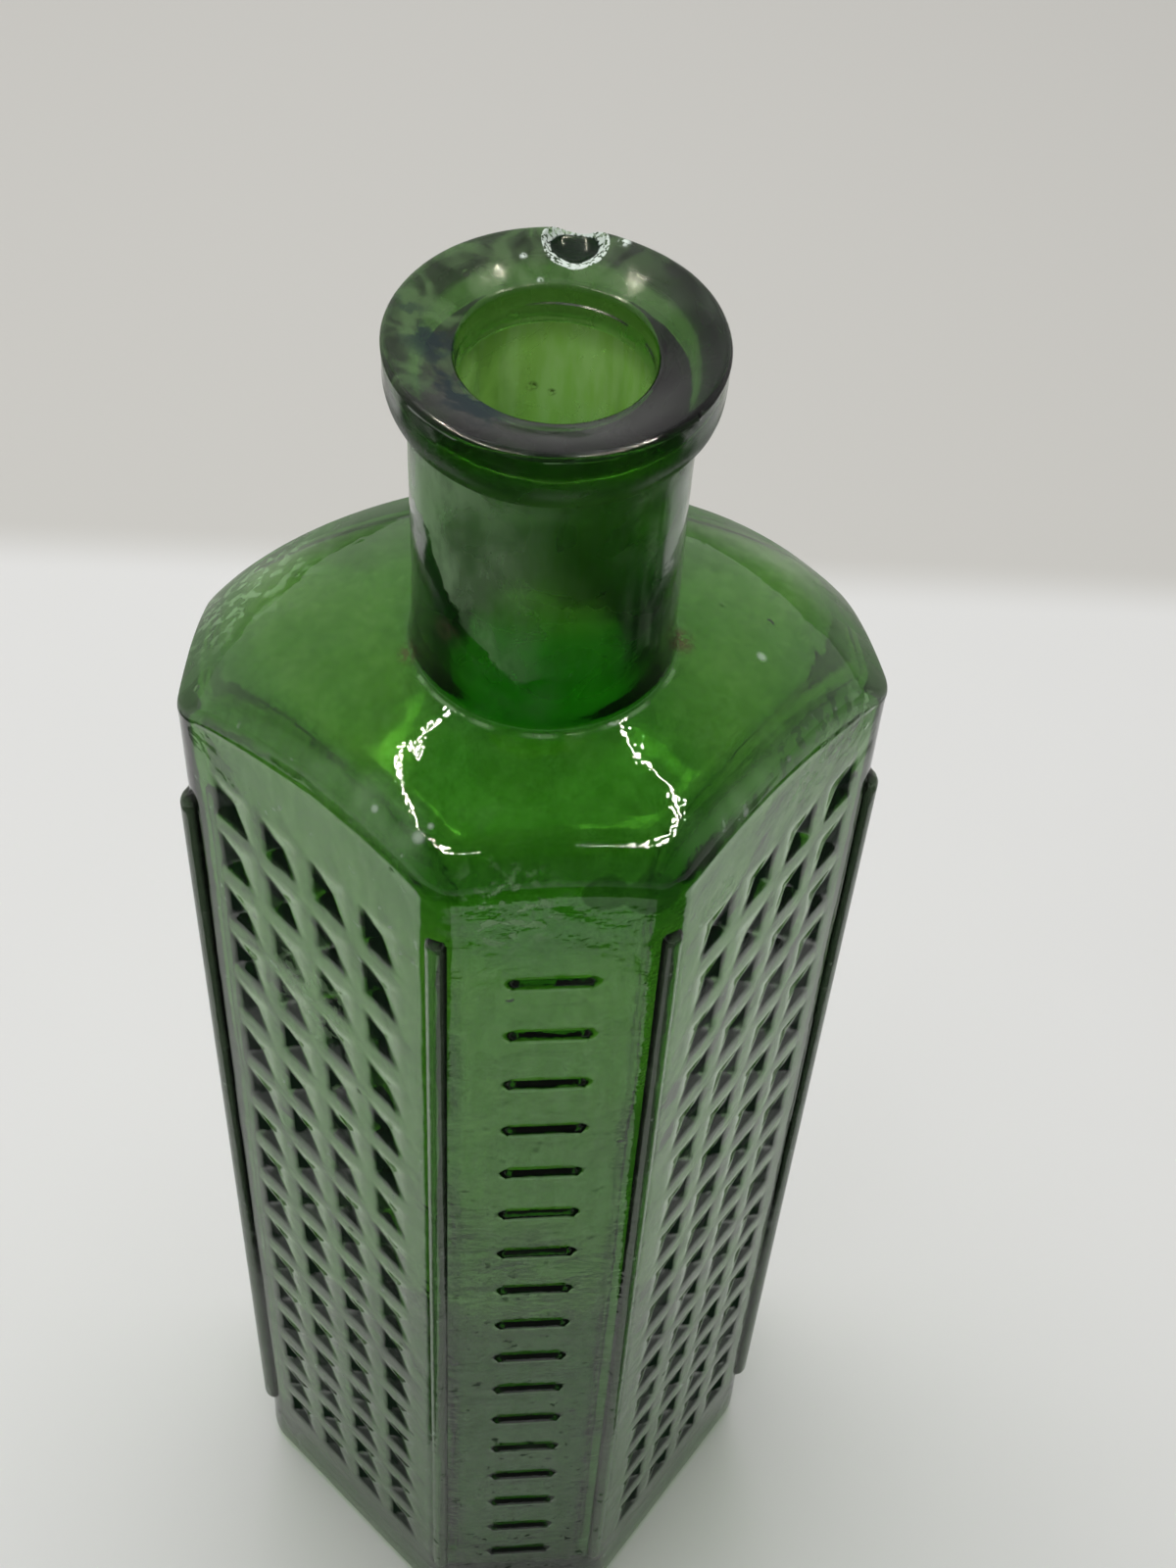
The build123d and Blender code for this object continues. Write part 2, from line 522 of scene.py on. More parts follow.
    def _relief(self, graph: Graph) -> Value:
        """The waves and small marks of hand-made glass.

        Args:
            graph: The material's graph.

        Returns:
            The normal.
        """
        slow = graph.bump(graph.grain(self.slow_waves), self.slow_depth)
        quick = graph.bump(graph.grain(self.quick_waves), self.quick_depth, slow)
        front = graph.back.step(*self.front) * graph.height.step(*self.pressed)
        hammered = graph.bump(graph.grain(self.hammering) * front, self.hammer_depth, quick)
        fine = graph.patches(self.grained) * (1 + 0.6 * graph.inside)
        peel = graph.bump(graph.grain(self.skin) * (0.2 + fine), self.skin_depth, hammered)
        settings = {"feature": "F1"}
        cells = graph.node("ShaderNodeTexVoronoi", settings, {"Vector": graph.place, "Scale": self.seed_scale})
        chosen = cells.other("Color") * 1.0
        seeds = cells.step(*self.seed_size) * chosen.step(*self.seed_chance)
        return graph.bump(seeds, self.seed_depth, peel)

    def _rough(self, graph: Graph, cloud: Value, upper: Value) -> Value:
        """The clear surface's roughness: least on the outside of the body, most round the neck and inside.

        Args:
            graph: The material's graph.
            cloud: Clouds, from 0 to 1.
            upper: How far up the body the point lies, from 0 to 1.

        Returns:
            The roughness.
        """
        calm = 1 - graph.patches(self.grained)
        smeared = 0.008 + graph.grain(self.smear) * calm * 0.07
        neck = graph.height.step(*self.neck)
        under = graph.height.step(*self.under_lip) * graph.height.step(*self.lip_bottom)
        outer = neck * graph.outside * (0.05 + 0.10 * cloud + 0.14 * under)
        inner = graph.inside * (0.02 + (0.05 + 0.13 * upper) * cloud + neck * 0.16)
        return smeared + outer + inner

    def _clear(self, graph: Graph, normal: Value) -> Value:
        """The clear glass surface.

        Args:
            graph: The material's graph.
            normal: The surface's normal.

        Returns:
            The shader.
        """
        cloud = graph.grain(self.cloud)
        upper = graph.height.step(*self.upper_wall)
        foot = graph.height.step(*self.neck_fade) * graph.height.step(*self.neck_bottom) * 0.95
        # Painted shade: the rear of the shoulder is tinted darker and greener
        rear = graph.back.step(*self.shoulder_back) * graph.height.step(*self.shoulder_side) * 0.8
        shade = graph.blend(cloud * (1 - 0.5 * upper), self.deep, self.clear)
        shade = graph.blend(graph.patches(self.thick) * 0.75 * graph.outside, shade, self.thick_tint)
        shade = graph.blend(foot * graph.outside, shade, self.foot_tint)
        shade = graph.blend(rear, shade, self.rear_shade_tint)
        bore = graph.blend(graph.grain(self.stain), self.stained, self.unstained)
        return graph.node("ShaderNodeBsdfPrincipled", None, {
            "Base Color": graph.blend(graph.inside, shade, bore),
            "Roughness": self._rough(graph, cloud, upper),
            "IOR": self.index,
            "Transmission Weight": 1.0,
            "Normal": normal,
        })

    def _film(self, graph: Graph, colour: Colour, rough: float, normal: Value, shine: float = 0.25) -> Value:
        """An opaque layer: a film of haze, white or dirt, or the painted shade."""
        inputs = {"Base Color": colour, "Roughness": rough, "Specular IOR Level": shine, "Normal": normal}
        return graph.node("ShaderNodeBsdfPrincipled", None, inputs)

    def material(self) -> bpy.types.Material:
        """Builds the material.

        Returns:
            The material, with its surface and volume.
        """
        material, graph = new_graph(self.name)
        normal = self._relief(graph)
        surface = self._clear(graph, normal)
        # Painted dark green over the rear rim and the dome beside it, standing in for the rim's shade
        painted_rim_green = graph.mark(Mark.RIM) * (0.55 + 0.3 * graph.grain(self.painted_rim_green))
        for share, film in (
            # Painted shade: the near-black film
            (self._shade(graph), self._film(graph, self.painted_shade, self.painted_shade_rough, normal, 0.0)),
            (painted_rim_green, self._film(graph, self.rim_shade_green, 0.5, normal)),
            (self._haze(graph), self._film(graph, self.haze, 0.5, normal)),
            (self._scuff(graph), self._film(graph, self.white, 0.6, normal)),
            (self._dirt(graph), self._film(graph, self.dirt, 0.8, normal)),
            (graph.mark(Mark.SEAM), graph.node("ShaderNodeBsdfTransparent", None, {"Color": (1, 1, 1, 1)})),
            (
                graph.node("ShaderNodeLightPath", output="Is Shadow Ray"),
                graph.node("ShaderNodeBsdfTransparent", None, {"Color": self.shadow}),
            ),
        ):
            surface = graph.layered(share, surface, film)
        body = graph.node("ShaderNodeVolumeAbsorption", None, {"Color": self.tint, "Density": self.density})
        graph.node("ShaderNodeOutputMaterial", None, {"Surface": surface, "Volume": body})
        return material


@dataclass(frozen=True)
class LipGlass(BottleGlass):
    """The lip's glass: the same batch, with a broken chip and darker stains on its dished top."""

    haze: Colour = (0.10, 0.19, 0.07, 1.0)
    dirt: Colour = (0.010, 0.022, 0.028, 1.0)
    # Roughness of the lip's painted shade
    painted_shade_rough: float = 0.6
    dished_top: Span = (228.6, 229.4)
    underside: Span = (228.2, 226.4)
    beyond_bore: Span = (10.0, 12.0)
    bore_front: Span = (2.0, -3.0)
    film_cloud: Grain = Grain(3.4, 6.0, shift=0.31, warp=0.8, span=(0.40, 0.62))
    rest: Grain = Grain(6.0, 4.0, shift=0.5, span=(0.5, 0.8))
    stain_edge: Grain = Grain(2.6, 5.0, shift=0.21, span=(0.46, 0.60))
    sparkle: Grain = Grain(0.38, 3.0, shift=0.5, span=(0.40, 0.54))
    grained: tuple[Patch, ...] = (
        Patch((-5.0, 8.0, 229.8), 5.0, 1.0, 0.6),
        Patch((6.5, 7.0, 229.8), 5.0, 1.0, 0.6),
    )
    stains: tuple[Patch, ...] = (
        Patch((-10.8, 0.8, 229.9), 4.0),
        Patch((-9.0, -4.6, 229.6), 4.6),
        Patch((-7.2, -7.8, 229.8), 4.0),
        Patch((-12.6, 4.2, 230.3), 3.0, 0.6),
    )
    nicks: tuple[Patch, ...] = (
        Patch((-2.2, 11.6, 230.2), 0.5),
        Patch((6.9, 12.6, 230.9), 0.8),
        Patch((-0.8, 9.4, 229.4), 0.5),
    )

    def _haze(self, graph: Graph) -> Value:
        """Where a grey-green film lies: over the left and rear of the dished top, and thinly elsewhere.

        Args:
            graph: The material's graph.

        Returns:
            The film's share, from 0 to 1.
        """
        side = (graph.back - graph.across * 0.8).step(-6.0, 12.0)
        top = graph.height.step(*self.dished_top)
        rest = graph.grain(self.rest) * 0.12
        clean = 1 - graph.mark(Mark.CHIP).step(0.9, 1.4)
        return ((top * side * (0.10 + graph.grain(self.film_cloud) * 0.50) + rest) * clean).clamped()

    def _dirt(self, graph: Graph) -> Value:
        """Nearly black blue-green patches on the left of the dished top, from 0 to 0.85."""
        return (graph.patches(self.stains) * graph.grain(self.stain_edge)).clamped() * 0.85

    def _shade(self, graph: Graph) -> Value:
        """Where shade is painted with the dark film: in the chip's hollow and on the underside.

        Args:
            graph: The material's graph.

        Returns:
            The dark film's share, from 0 to 1.
        """
        outside = graph.reach.step(*self.beyond_bore).largest(graph.back.step(*self.bore_front))
        # painted shade on the lip's underside
        under = graph.height.step(*self.underside) * (outside * (1 - graph.mark(Mark.SEAM))) * 0.5
        chip = graph.mark(Mark.CHIP)
        # painted shade in the chip's hollow, lighter at its deepest
        return under.largest(chip.step(1.15, 1.5) * (0.92 - 0.35 * chip.step(1.6, 1.95)))

    def _scuff(self, graph: Graph) -> Value:
        """Where the glass is white: round the chip's broken edge, broken into specks of painted sparkle, and in
        small nicks on the rim.

        Args:
            graph: The material's graph.

        Returns:
            The white's share, from 0 to 0.95.
        """
        chip = graph.mark(Mark.CHIP)
        ring = chip.step(0.05, 0.5) * chip.step(1.7, 1.2)
        # white round the chip's broken edge, broken into specks that are painted sparkle
        return (graph.grain(self.sparkle) * (ring * 1.3 + graph.patches(self.nicks))).clamped() * 0.95


class Skin:
    """Rings of points, each with the same number of points, that are joined into one closed mesh."""

    def __init__(self, count: int) -> None:
        """Starts with no rings.

        Args:
            count: The number of points that each ring will have.
        """
        self.count = count
        self.rings: list[Array] = []
        self.marks: dict[Mark, list[Array]] = {mark: [] for mark in Mark}

    def add(self, points: Array, marks: Mapping[Mark, Array | float] | None = None) -> None:
        """Adds one ring.

        Args:
            points: The ring's points in millimetres, as rows of three.
            marks: The numbers that its points carry. Those left out are 0.
        """
        self.rings.append(points)
        for mark in Mark:
            given = (marks or {}).get(mark, 0.0)
            self.marks[mark].append(np.broadcast_to(np.asarray(given, dtype=float), (self.count,)))

    def _faces(self, closed: bool, leaning: Array | None) -> list[tuple[int, ...]]:
        """The faces between the rings.

        Args:
            closed: True if the last ring joins the first.
            leaning: For each cell 0 for a square, 1 or 2 for the way its diagonal runs, or None.

        Returns:
            Faces as tuples of point numbers.
        """
        rows = len(self.rings) if closed else len(self.rings) - 1
        low = np.arange(rows)[:, None] * self.count
        high = (np.arange(rows)[:, None] + 1) % len(self.rings) * self.count
        here = np.arange(self.count)[None, :]
        after = (here + 1) % self.count
        corners = np.stack([low + here, low + after, high + after, high + here], axis=-1)
        if leaning is None:
            return [tuple(face) for face in corners.reshape(-1, 4).tolist()]
        faces = [tuple(face) for face in corners[leaning == 0].tolist()]
        for kind, halves in ((1, ((0, 1, 2), (0, 2, 3))), (2, ((0, 1, 3), (1, 2, 3)))):
            cells = corners[leaning == kind]
            for order in halves:
                faces += [tuple(face) for face in cells[:, order].tolist()]
        return faces

    def piece(self, name: str, closed: bool, crease: float, leaning: Array | None = None) -> bpy.types.Object:
        """Makes the object.

        Args:
            name: The piece's name.
            closed: True if the last ring joins the first. Otherwise each end is closed by a point.
            crease: Edges bent by more than this many degrees are sharp.
            leaning: See _faces.

        Returns:
            The object, linked to the scene.
        """
        points = np.concatenate(self.rings)
        faces = self._faces(closed, leaning)
        values = {mark: np.concatenate(parts) for mark, parts in self.marks.items()}
        if not closed:
            for ring, turned in ((0, True), (len(self.rings) - 1, False)):
                centre = len(points)
                points = np.vstack([points, self.rings[ring].mean(axis=0)])
                start = ring * self.count
                for index in range(self.count):
                    pair = (start + index, start + (index + 1) % self.count)
                    faces.append((pair[1], pair[0], centre) if turned else (pair[0], pair[1], centre))
                for mark in Mark:
                    values[mark] = np.append(values[mark], values[mark][start])
        mesh = bpy.data.meshes.new(name)
        mesh.from_pydata((points * MM).tolist(), [], faces)
        mesh.polygons.foreach_set("use_smooth", np.ones(len(mesh.polygons), dtype=bool))
        mesh.set_sharp_from_angle(angle=math.radians(crease))
        for mark, numbers in values.items():
            layer = mesh.attributes.new(mark.value, "FLOAT", "POINT")
            layer.data.foreach_set("value", numbers.astype(np.float32))
        mesh.update()
        return link(bpy.data.objects.new(name, mesh))


def ripple(points: Array, size: float, seed: float) -> Array:
    """Smooth noise.

    Args:
        points: Rows of three, in millimetres.
        size: The size of the waves in millimetres.
        seed: Moves the noise.

    Returns:
        One number from -1 to 1 for each point.
    """
    shifted = points / size + np.array([seed, seed * 1.7, -seed])
    return np.array([noise.noise(Vector(row)) for row in shifted])


def waved(points: Array, waves: Waves) -> Array:
    """Waves added up from layers that each have a height, a size and a seed."""
    return sum(height * ripple(points, size, seed) for height, size, seed in waves)


def smooth(low: float, high: float, value: Array | float) -> Array | float:
    """A smooth step from 0 at low to 1 at high."""
    share = np.clip((value - low) / (high - low), 0.0, 1.0)
    return share * share * (3.0 - 2.0 * share)


def lifted(flat: Array, height: Array | float) -> Array:
    """Points in plan, lifted to one height or each to its own."""
    return np.column_stack([flat, np.broadcast_to(height, len(flat))])


def compass(angle: Array) -> Array:
    """Unit vectors in plan at angles from +X."""
    return np.column_stack([np.cos(angle), np.sin(angle)])


@dataclass
class Plan:
    """Six-sided plan with rounded corners that the body's rings follow, counterclockwise from the front."""

    corners: tuple[tuple[float, float], ...] = (
        (-11.8, -26.4), (11.8, -26.4), (37.4, 3.0), (34.5, 27.0), (-34.5, 27.0), (-37.4, 3.0),
    )
    rounding: float = 5.2
    facet_width: float = 6.3
    facet_pitch: float = 7.6
    facet_columns: int = 4
    facet_steps: tuple[float, ...] = (1 / 12, 1 / 6, 1 / 4, 1 / 3, 1 / 2, 2 / 3, 5 / 6, 1.0)
    gap_steps: tuple[float, ...] = (1 / 3, 2 / 3)
    edge_steps: int = 6
    arc_steps: tuple[int, ...] = (26, 26, 12, 12, 26, 26)
    plain_steps: tuple[int, ...] = (48, 0, 20, 50, 20, 0)
    side: Array = field(init=False)
    across: Array = field(init=False)

    def __post_init__(self) -> None:
        """Works out which panel each column lies on, and where."""
        sides: list[int] = []
        across: list[float] = []
        for index in range(6):
            places = self._places(index)
            sides += [index] * len(places) + [-1 - index] * (self.arc_steps[index] - 1)
            across += list(places) + [0.0] * (self.arc_steps[index] - 1)
        self.side = np.array(sides)
        self.across = np.array(across)

    @property
    def count(self) -> int:
        """The number of columns."""
        return len(self.side)

    def _panel(self, index: int, rounding: float) -> tuple[Array, Array, Array, float, float]:
        """One panel.

        Args:
            index: Its number, counted from the front.
            rounding: The radius of the corners at its ends.

        Returns:
            Its middle, direction and normal, and the ends of its flat part from the middle.
        """
        points = [np.array(self.corners[(index + turn) % 6]) for turn in (-1, 0, 1, 2)]
        before, along, after = (points[k + 1] - points[k] for k in range(3))
        length = np.linalg.norm(along)
        before, along, after = (edge / np.linalg.norm(edge) for edge in (before, along, after))
        first = rounding * math.tan(math.acos(float(before @ along)) / 2)
        last = rounding * math.tan(math.acos(float(along @ after)) / 2)
        middle = (points[1] + points[2]) / 2
        normal = np.array([along[1], -along[0]])
        return middle, along, normal, -length / 2 + first, length / 2 - last

    def stations(self, size: float, pitch: float, count: int, middle: float = 0.0) -> list[float]:
        """Places along a run of facets.

        Args:
            size: The length of each facet.
            pitch: The distance between their middles.
            count: The number of facets.
            middle: The middle of the run.

        Returns:
            The places, close together within each facet and at thirds of each gap.
        """
        half, gap = size / 2, pitch - size
        outward = np.array(self.facet_steps) * half
        facet = np.concatenate([-outward[::-1], [0.0], outward])
        places: list[float] = []
        for index in range(count):
            centre = middle + (index - (count - 1) / 2) * pitch
            places += list(centre + facet)
            if index < count - 1:
                places += [centre + half + gap * share for share in self.gap_steps]
        return places

    def _places(self, index: int) -> Array:
        """Places of the columns across one panel.

        Args:
            index: The panel's number.

        Returns:
            The places from its middle.
        """
        _, _, _, low, high = self._panel(index, self.rounding)
        if self.plain_steps[index]:
            return np.linspace(low, high, self.plain_steps[index] + 1)
        places = self.stations(self.facet_width, self.facet_pitch, self.facet_columns)
        first = np.linspace(low, places[0], self.edge_steps + 1)[:-1]
        last = np.linspace(places[-1], high, self.edge_steps + 1)[1:]
        return np.concatenate([first, places, last])

    def ring(self, rounding: float | None = None, inset: float = 0.0) -> tuple[Array, Array]:
        """One ring of the plan.

        Args:
            rounding: Radius of the corners before the inset, or None for the plan's own.
            inset: How far the ring lies inside the plan.

        Returns:
            Its points and outward normals, as rows of two.
        """
        rounding = self.rounding if rounding is None else rounding
        points: list[Array] = []
        normals: list[Array] = []
        for index in range(6):
            _, _, _, low, high = self._panel(index, self.rounding)
            middle, along, normal, start, end = self._panel(index, rounding)
            share = (self._places(index) - low) / (high - low)
            for place in start + share * (end - start):
                points.append(middle + along * place)
                normals.append(normal)
            _, _, following, _, _ = self._panel((index + 1) % 6, rounding)
            pivot = middle + along * end - normal * rounding
            turn = math.acos(float(np.clip(normal @ following, -1.0, 1.0)))
            for step in range(1, self.arc_steps[index]):
                angle = turn * step / self.arc_steps[index]
                cosine, sine = math.cos(angle), math.sin(angle)
                facing = np.array([normal[0] * cosine - normal[1] * sine, normal[0] * sine + normal[1] * cosine])
                points.append(pivot + facing * rounding)
                normals.append(facing)
        found = np.array(normals)
        return np.array(points) - found * inset, found

    def bearing(self) -> Array:
        """The angles at which the columns lie round the neck's axis."""
        points, _ = self.ring()
        return np.arctan2(points[:, 1], points[:, 0])


@dataclass(frozen=True)
class Rib:
    """A round rib up one corner. Millimetres."""

    radius: float
    rise: float
    top: float


@dataclass
class Body:
    """The blown body, from the table to the neck's sheared end. Millimetres."""

    plan: Plan = field(default_factory=Plan)

    # Shoulder, walls and floor
    dome_radius: float = 51.7
    dome_centre: float = 143.58
    shoulder_wall: float = 4.2
    front_rounding: float = 4.6
    rear_rounding: float = 0.9
    rounding_turn: Span = (-8.0, 6.0)
    inner_rounding: float = 4.5
    wall: float = 3.7
    floor: float = 7.0
    floor_rounding: float = 4.0
    floor_crown: float = 1.2
    floor_shares: tuple[float, ...] = (0.9, 0.75, 0.6, 0.45, 0.3, 0.16, 0.05)

    # Underside
    heel: float = 2.4
    foot_ring: float = 7.0
    ring_insets: tuple[float, ...] = (5.6, 4.2, 3.2)
    push_up: float = 2.6
    push_slope: float = 3.1
    push_crown: float = 0.5
    push_shares: tuple[float, ...] = (0.02, 0.12, 0.25, 0.4, 0.55, 0.7, 0.85, 0.95)
    hollow_rounding: float = 1.0

    # Neck
    neck_radius: float = 13.1
    neck_foot: float = 0.7
    bore_radius: float = 9.2
    bore_foot: float = 2.0
    bore_lead: float = 0.05
    neck_end: float = 225.0
    lip_foot: float = 223.6
    seam_gap: float = 0.02
    seam_heights: tuple[float, ...] = (224.1, 224.6)
    seam_radii: tuple[float, ...] = (11.9, 11.0, 10.0)

    # Facets, bars and ribs
    facet_length: float = 7.6
    facet_pitch: float = 9.45
    facet_rows: int = 17
    facet_middle: float = 95.0
    facet_depth: float = 0.55
    facet_flat: float = 0.96
    facet_waist: float = 0.12
    facet_squareness: float = 7.0
    facet_blur: float = 0.0036
    facet_beyond: float = -0.25
    facet_crest: Span = (0.02, 0.18)
    # Painted shade on the facets' lower faces and their faces towards the bottle's side: where it lies, how
    # strong and how its edges stray
    below_edge: Span = (-0.12, 0.18)
    below_fade: Span = (0.04, 0.2)
    beside_edge: Span = (-0.10, 0.15)
    beside_fade: Span = (0.02, 0.2)
    depth_spread: Span = (0.86, 1.06)
    shade_spread: Span = (0.82, 1.05)
    shade_below: float = 0.62
    shade_wander: Waves = ((0.25, 2.4, 6.3),)
    bar_length: float = 9.0
    bar_width: float = 1.9
    bar_rise: float = 0.6
    bar_edge: Span = (0.05, -0.45)
    rib_foot: float = 15.5
    rib_crest: Span = (0.1, 0.5)
    rib_wear: float = 1.1
    front_rib: Rib = Rib(1.2, 0.7, 177.0)
    side_rib: Rib = Rib(1.7, 1.09, 164.0)

    # Heights of the walls' rings below and above the facets
    low_rows: tuple[float, ...] = (2.4, 4.0, 6.0, 8.0, 10.0, 12.0, 13.4, 14.0, 14.3, 14.5, 14.8, 15.15)
    high_rows: tuple[float, ...] = (175.0, 175.6, 176.2, 176.7, 177.1, 177.5, 177.8, 178.1)
    last_shares: tuple[float, ...] = (0.15, 0.35, 0.55, 0.75, 0.9)
    exact_top: float = 178.3
    even_top: float = 150.0
    rim_margin: float = 0.7

    # Waves of the glass, as height, size and seed, and how far they are set back
    wall_waves: Waves = ((0.10, 26.0, 3.1), (0.03, 9.0, 5.3))
    wall_inset: float = 0.13
    wall_fade: Span = (2.0, 12.0)
    rim_waves: float = 0.06
    dome_waves: Waves = ((1.0, 13.0, 8.2), (0.4, 5.0, 2.9))
    dome_crown: float = 0.10
    dome_edge: float = 0.03
    neck_waves: Waves = ((0.16, 11.0, 4.4), (0.05, 4.0, 6.1))
    neck_inset: float = 0.2
    neck_calm: float = 3.0
    bore_waves: Waves = ((0.35, 12.0, 1.4), (0.10, 5.0, 9.1))
    bore_widening: float = 0.1
    bore_calm: float = 4.0
    hollow_waves: Waves = ((0.38, 21.0, 1.9), (0.12, 8.0, 7.7))

    # Wear on the shoulder, painted shade and painted dark green along the rear rim, and a painted highlight along
    # the neck's foot
    rim_rear: Span = (-6.0, 8.0)
    rim_scuffed: Span = (-25.8, -23.0)
    rim_wear: float = 0.8
    rim_shade: float = 0.8
    rim_green_fade: Span = (2.5, 11.0)
    # Painted highlight: a broken pale ring round the front of the neck's foot
    foot_highlight: float = 2.4
    foot_highlight_end: float = 0.3
    foot_highlight_front: float = -0.4
    foot_highlight_breaks: Span = (-0.15, 0.25)

    # The thinner band of the rear wall, under the shoulder
    thin_depth: float = 1.5
    thin_height: float = 172.0
    thin_reach: float = 13.0
    thin_rear: Span = (0.0, 14.0)
    hollow_middle: float = 95.0
    hollow_lean: float = 0.35

    def _dome(self, points: Array, lowered: float = 0.0) -> Array:
        """Height of the dome over points in plan."""
        reach = np.sum(points[:, :2] ** 2, axis=1)
        return self.dome_centre - lowered + np.sqrt(self.dome_radius**2 - reach)

    def _roundings(self, points: Array) -> Array:
        """The rounding of the outer rim over the wall's ring, less towards the rear."""
        rear = smooth(*self.rounding_turn, points[:, 1])
        return self.front_rounding + (self.rear_rounding - self.front_rounding) * rear

    def _rim(self, points: Array, normals: Array, radius: Array | float, lowered: float, share: float) -> Array:
        """One ring of the rounding between the walls and the dome.

        Args:
            points: The wall's ring in plan.
            normals: Its outward normals.
            radius: The rounding's radius.
            lowered: How far the dome is lowered.
            share: 0 on the wall and 1 on the dome.

        Returns:
            Points as rows of three.
        """
        end = points
        for _ in range(4):
            height = self._dome(end, lowered)
            slope = np.arctan2(np.sum(end * normals, axis=1), height - self.dome_centre + lowered)
            end = points - normals * (radius * (1 - np.sin(slope)))[:, None]
        wall_top = self._dome(end, lowered) - radius * np.cos(slope)
        angle = share * (math.pi / 2 - slope)
        inset = radius * (1 - np.cos(angle))
        return lifted(points - normals * inset[:, None], wall_top + radius * np.sin(angle))

    def _foot(self, radius: float, rounding: float, lowered: float, share: float) -> tuple[float, float]:
        """Radius and height on the rounding between the dome and a tube of a radius.

        Args:
            radius: The tube's radius.
            rounding: The rounding's radius.
            lowered: How far the dome is lowered.
            share: 0 on the dome and 1 on the tube.

        Returns:
            The ring's radius and height.
        """
        across = radius + rounding
        reach = self.dome_radius + rounding
        height = self.dome_centre - lowered + math.sqrt(reach**2 - across**2)
        slope = math.asin(across / reach)
        angle = slope + share * (math.pi / 2 - slope)
        return across - rounding * math.sin(angle), height - rounding * math.cos(angle)

    def _row(self, height: Array) -> tuple[Array, Array]:
        """The nearest row of facets.

        Args:
            height: The grid's heights.

        Returns:
            The row's number, and the height above its middle.
        """
        row = np.round((height - self.facet_middle) / self.facet_pitch + (self.facet_rows - 1) / 2)
        row = np.clip(row, 0, self.facet_rows - 1)
        return row, height - self.facet_middle - (row - (self.facet_rows - 1) / 2) * self.facet_pitch

    def _chance(self, seed: int, spread: Span, column: Array, row: Array) -> Array:
        """A random number for each facet of the two panels.

        Args:
            seed: The draw's seed.
            spread: The smallest and largest number.
            column: The facet's column over the walls' grid.
            row: Its row.

        Returns:
            The numbers over the walls' grid.
        """
        draw = np.random.default_rng(seed).uniform(*spread, (2, self.plan.facet_columns, self.facet_rows))
        which = np.broadcast_to((self.plan.side == 5).astype(int)[None, :], row.shape)
        return draw[which, column.astype(int), row.astype(int)]

    def _facets(self, height: Array, wobble: Array) -> tuple[Array, dict[Mark, Array], Array]:
        """The sunken facets over the walls' grid.

        Args:
            height: The grid's heights.
            wobble: How far the edges of the painted shade on the facets stray there, as a share of half a facet.

        Returns:
            The glass's depth below the panel, the numbers that its points carry, and the lean of each cell.
        """
        plan = self.plan
        panel = np.isin(plan.side, (1, 5))[None, :]
        column = np.round(plan.across / plan.facet_pitch + (plan.facet_columns - 1) / 2)
        column = np.clip(column, 0, plan.facet_columns - 1)
        row, above_middle = self._row(height)
        u = (plan.across - (column - (plan.facet_columns - 1) / 2) * plan.facet_pitch) / (plan.facet_width / 2)
        v = above_middle / (self.facet_length / 2)
        column = np.broadcast_to(column[None, :], v.shape)
        u = np.broadcast_to(u[None, :], v.shape)
        beside = np.abs(u) / (1 - self.facet_waist * (1 - np.clip(v, -1, 1) ** 2))
        above = np.abs(v) / (1 - self.facet_waist * (1 - np.clip(u, -1, 1) ** 2))
        power = self.facet_squareness
        fall = 1 - (beside**power + above**power) ** (1 / power)
        eased = (fall + np.sqrt(fall**2 + self.facet_blur)) / 2
        eased = np.where(fall < self.facet_beyond, 0.0, eased)
        share = np.where(panel, np.minimum(eased, self.facet_flat), 0.0)
        inside = panel & (np.abs(u) <= 1.001) & (np.abs(v) <= 1.001)
        middle_u = (u + np.roll(u, -1, axis=1)) / 2
        middle_v = (v[:-1] + v[1:]) / 2
        within = inside[:-1] & inside[1:] & np.roll(inside, -1, axis=1)[:-1]
        lean = np.where(middle_u[:-1] * middle_v > 0, 1, 2)
        outward = np.where(plan.side == 5, -1.0, 1.0)[None, :] * u
        # Painted shade on each facet's lower face, and on its face towards the bottle's side
        lower = smooth(*self.below_edge, -v - np.abs(u) + wobble) * smooth(*self.below_fade, share)
        outer = smooth(*self.beside_edge, outward - np.abs(v) + wobble) * smooth(*self.beside_fade, share)
        film = np.maximum(lower * self.shade_below, outer * self._chance(11, self.shade_spread, column, row))
        marks = {
            Mark.PIT: share,
            Mark.SHADE: np.where(inside, film, 0.0),
            Mark.CREST: np.where(panel, 1 - smooth(*self.facet_crest, share), 0.0),
        }
        deep = self.facet_depth * self._chance(7, self.depth_spread, column, row)
        return deep * share, marks, np.where(within, lean, 0)

    def _bars(self, height: Array) -> Array:
        """The raised bars up the front panel.

        Args:
            height: The walls' grid of heights.

        Returns:
            How far they stand out over the grid.
        """
        _, above_middle = self._row(height)
        radius = self.bar_width / 2
        beyond = np.maximum(np.abs(self.plan.across)[None, :] - (self.bar_length / 2 - radius), 0)
        edge = np.sqrt(beyond**2 + above_middle**2) - radius
        return np.where((self.plan.side == 0)[None, :], self.bar_rise * smooth(*self.bar_edge, edge), 0.0)

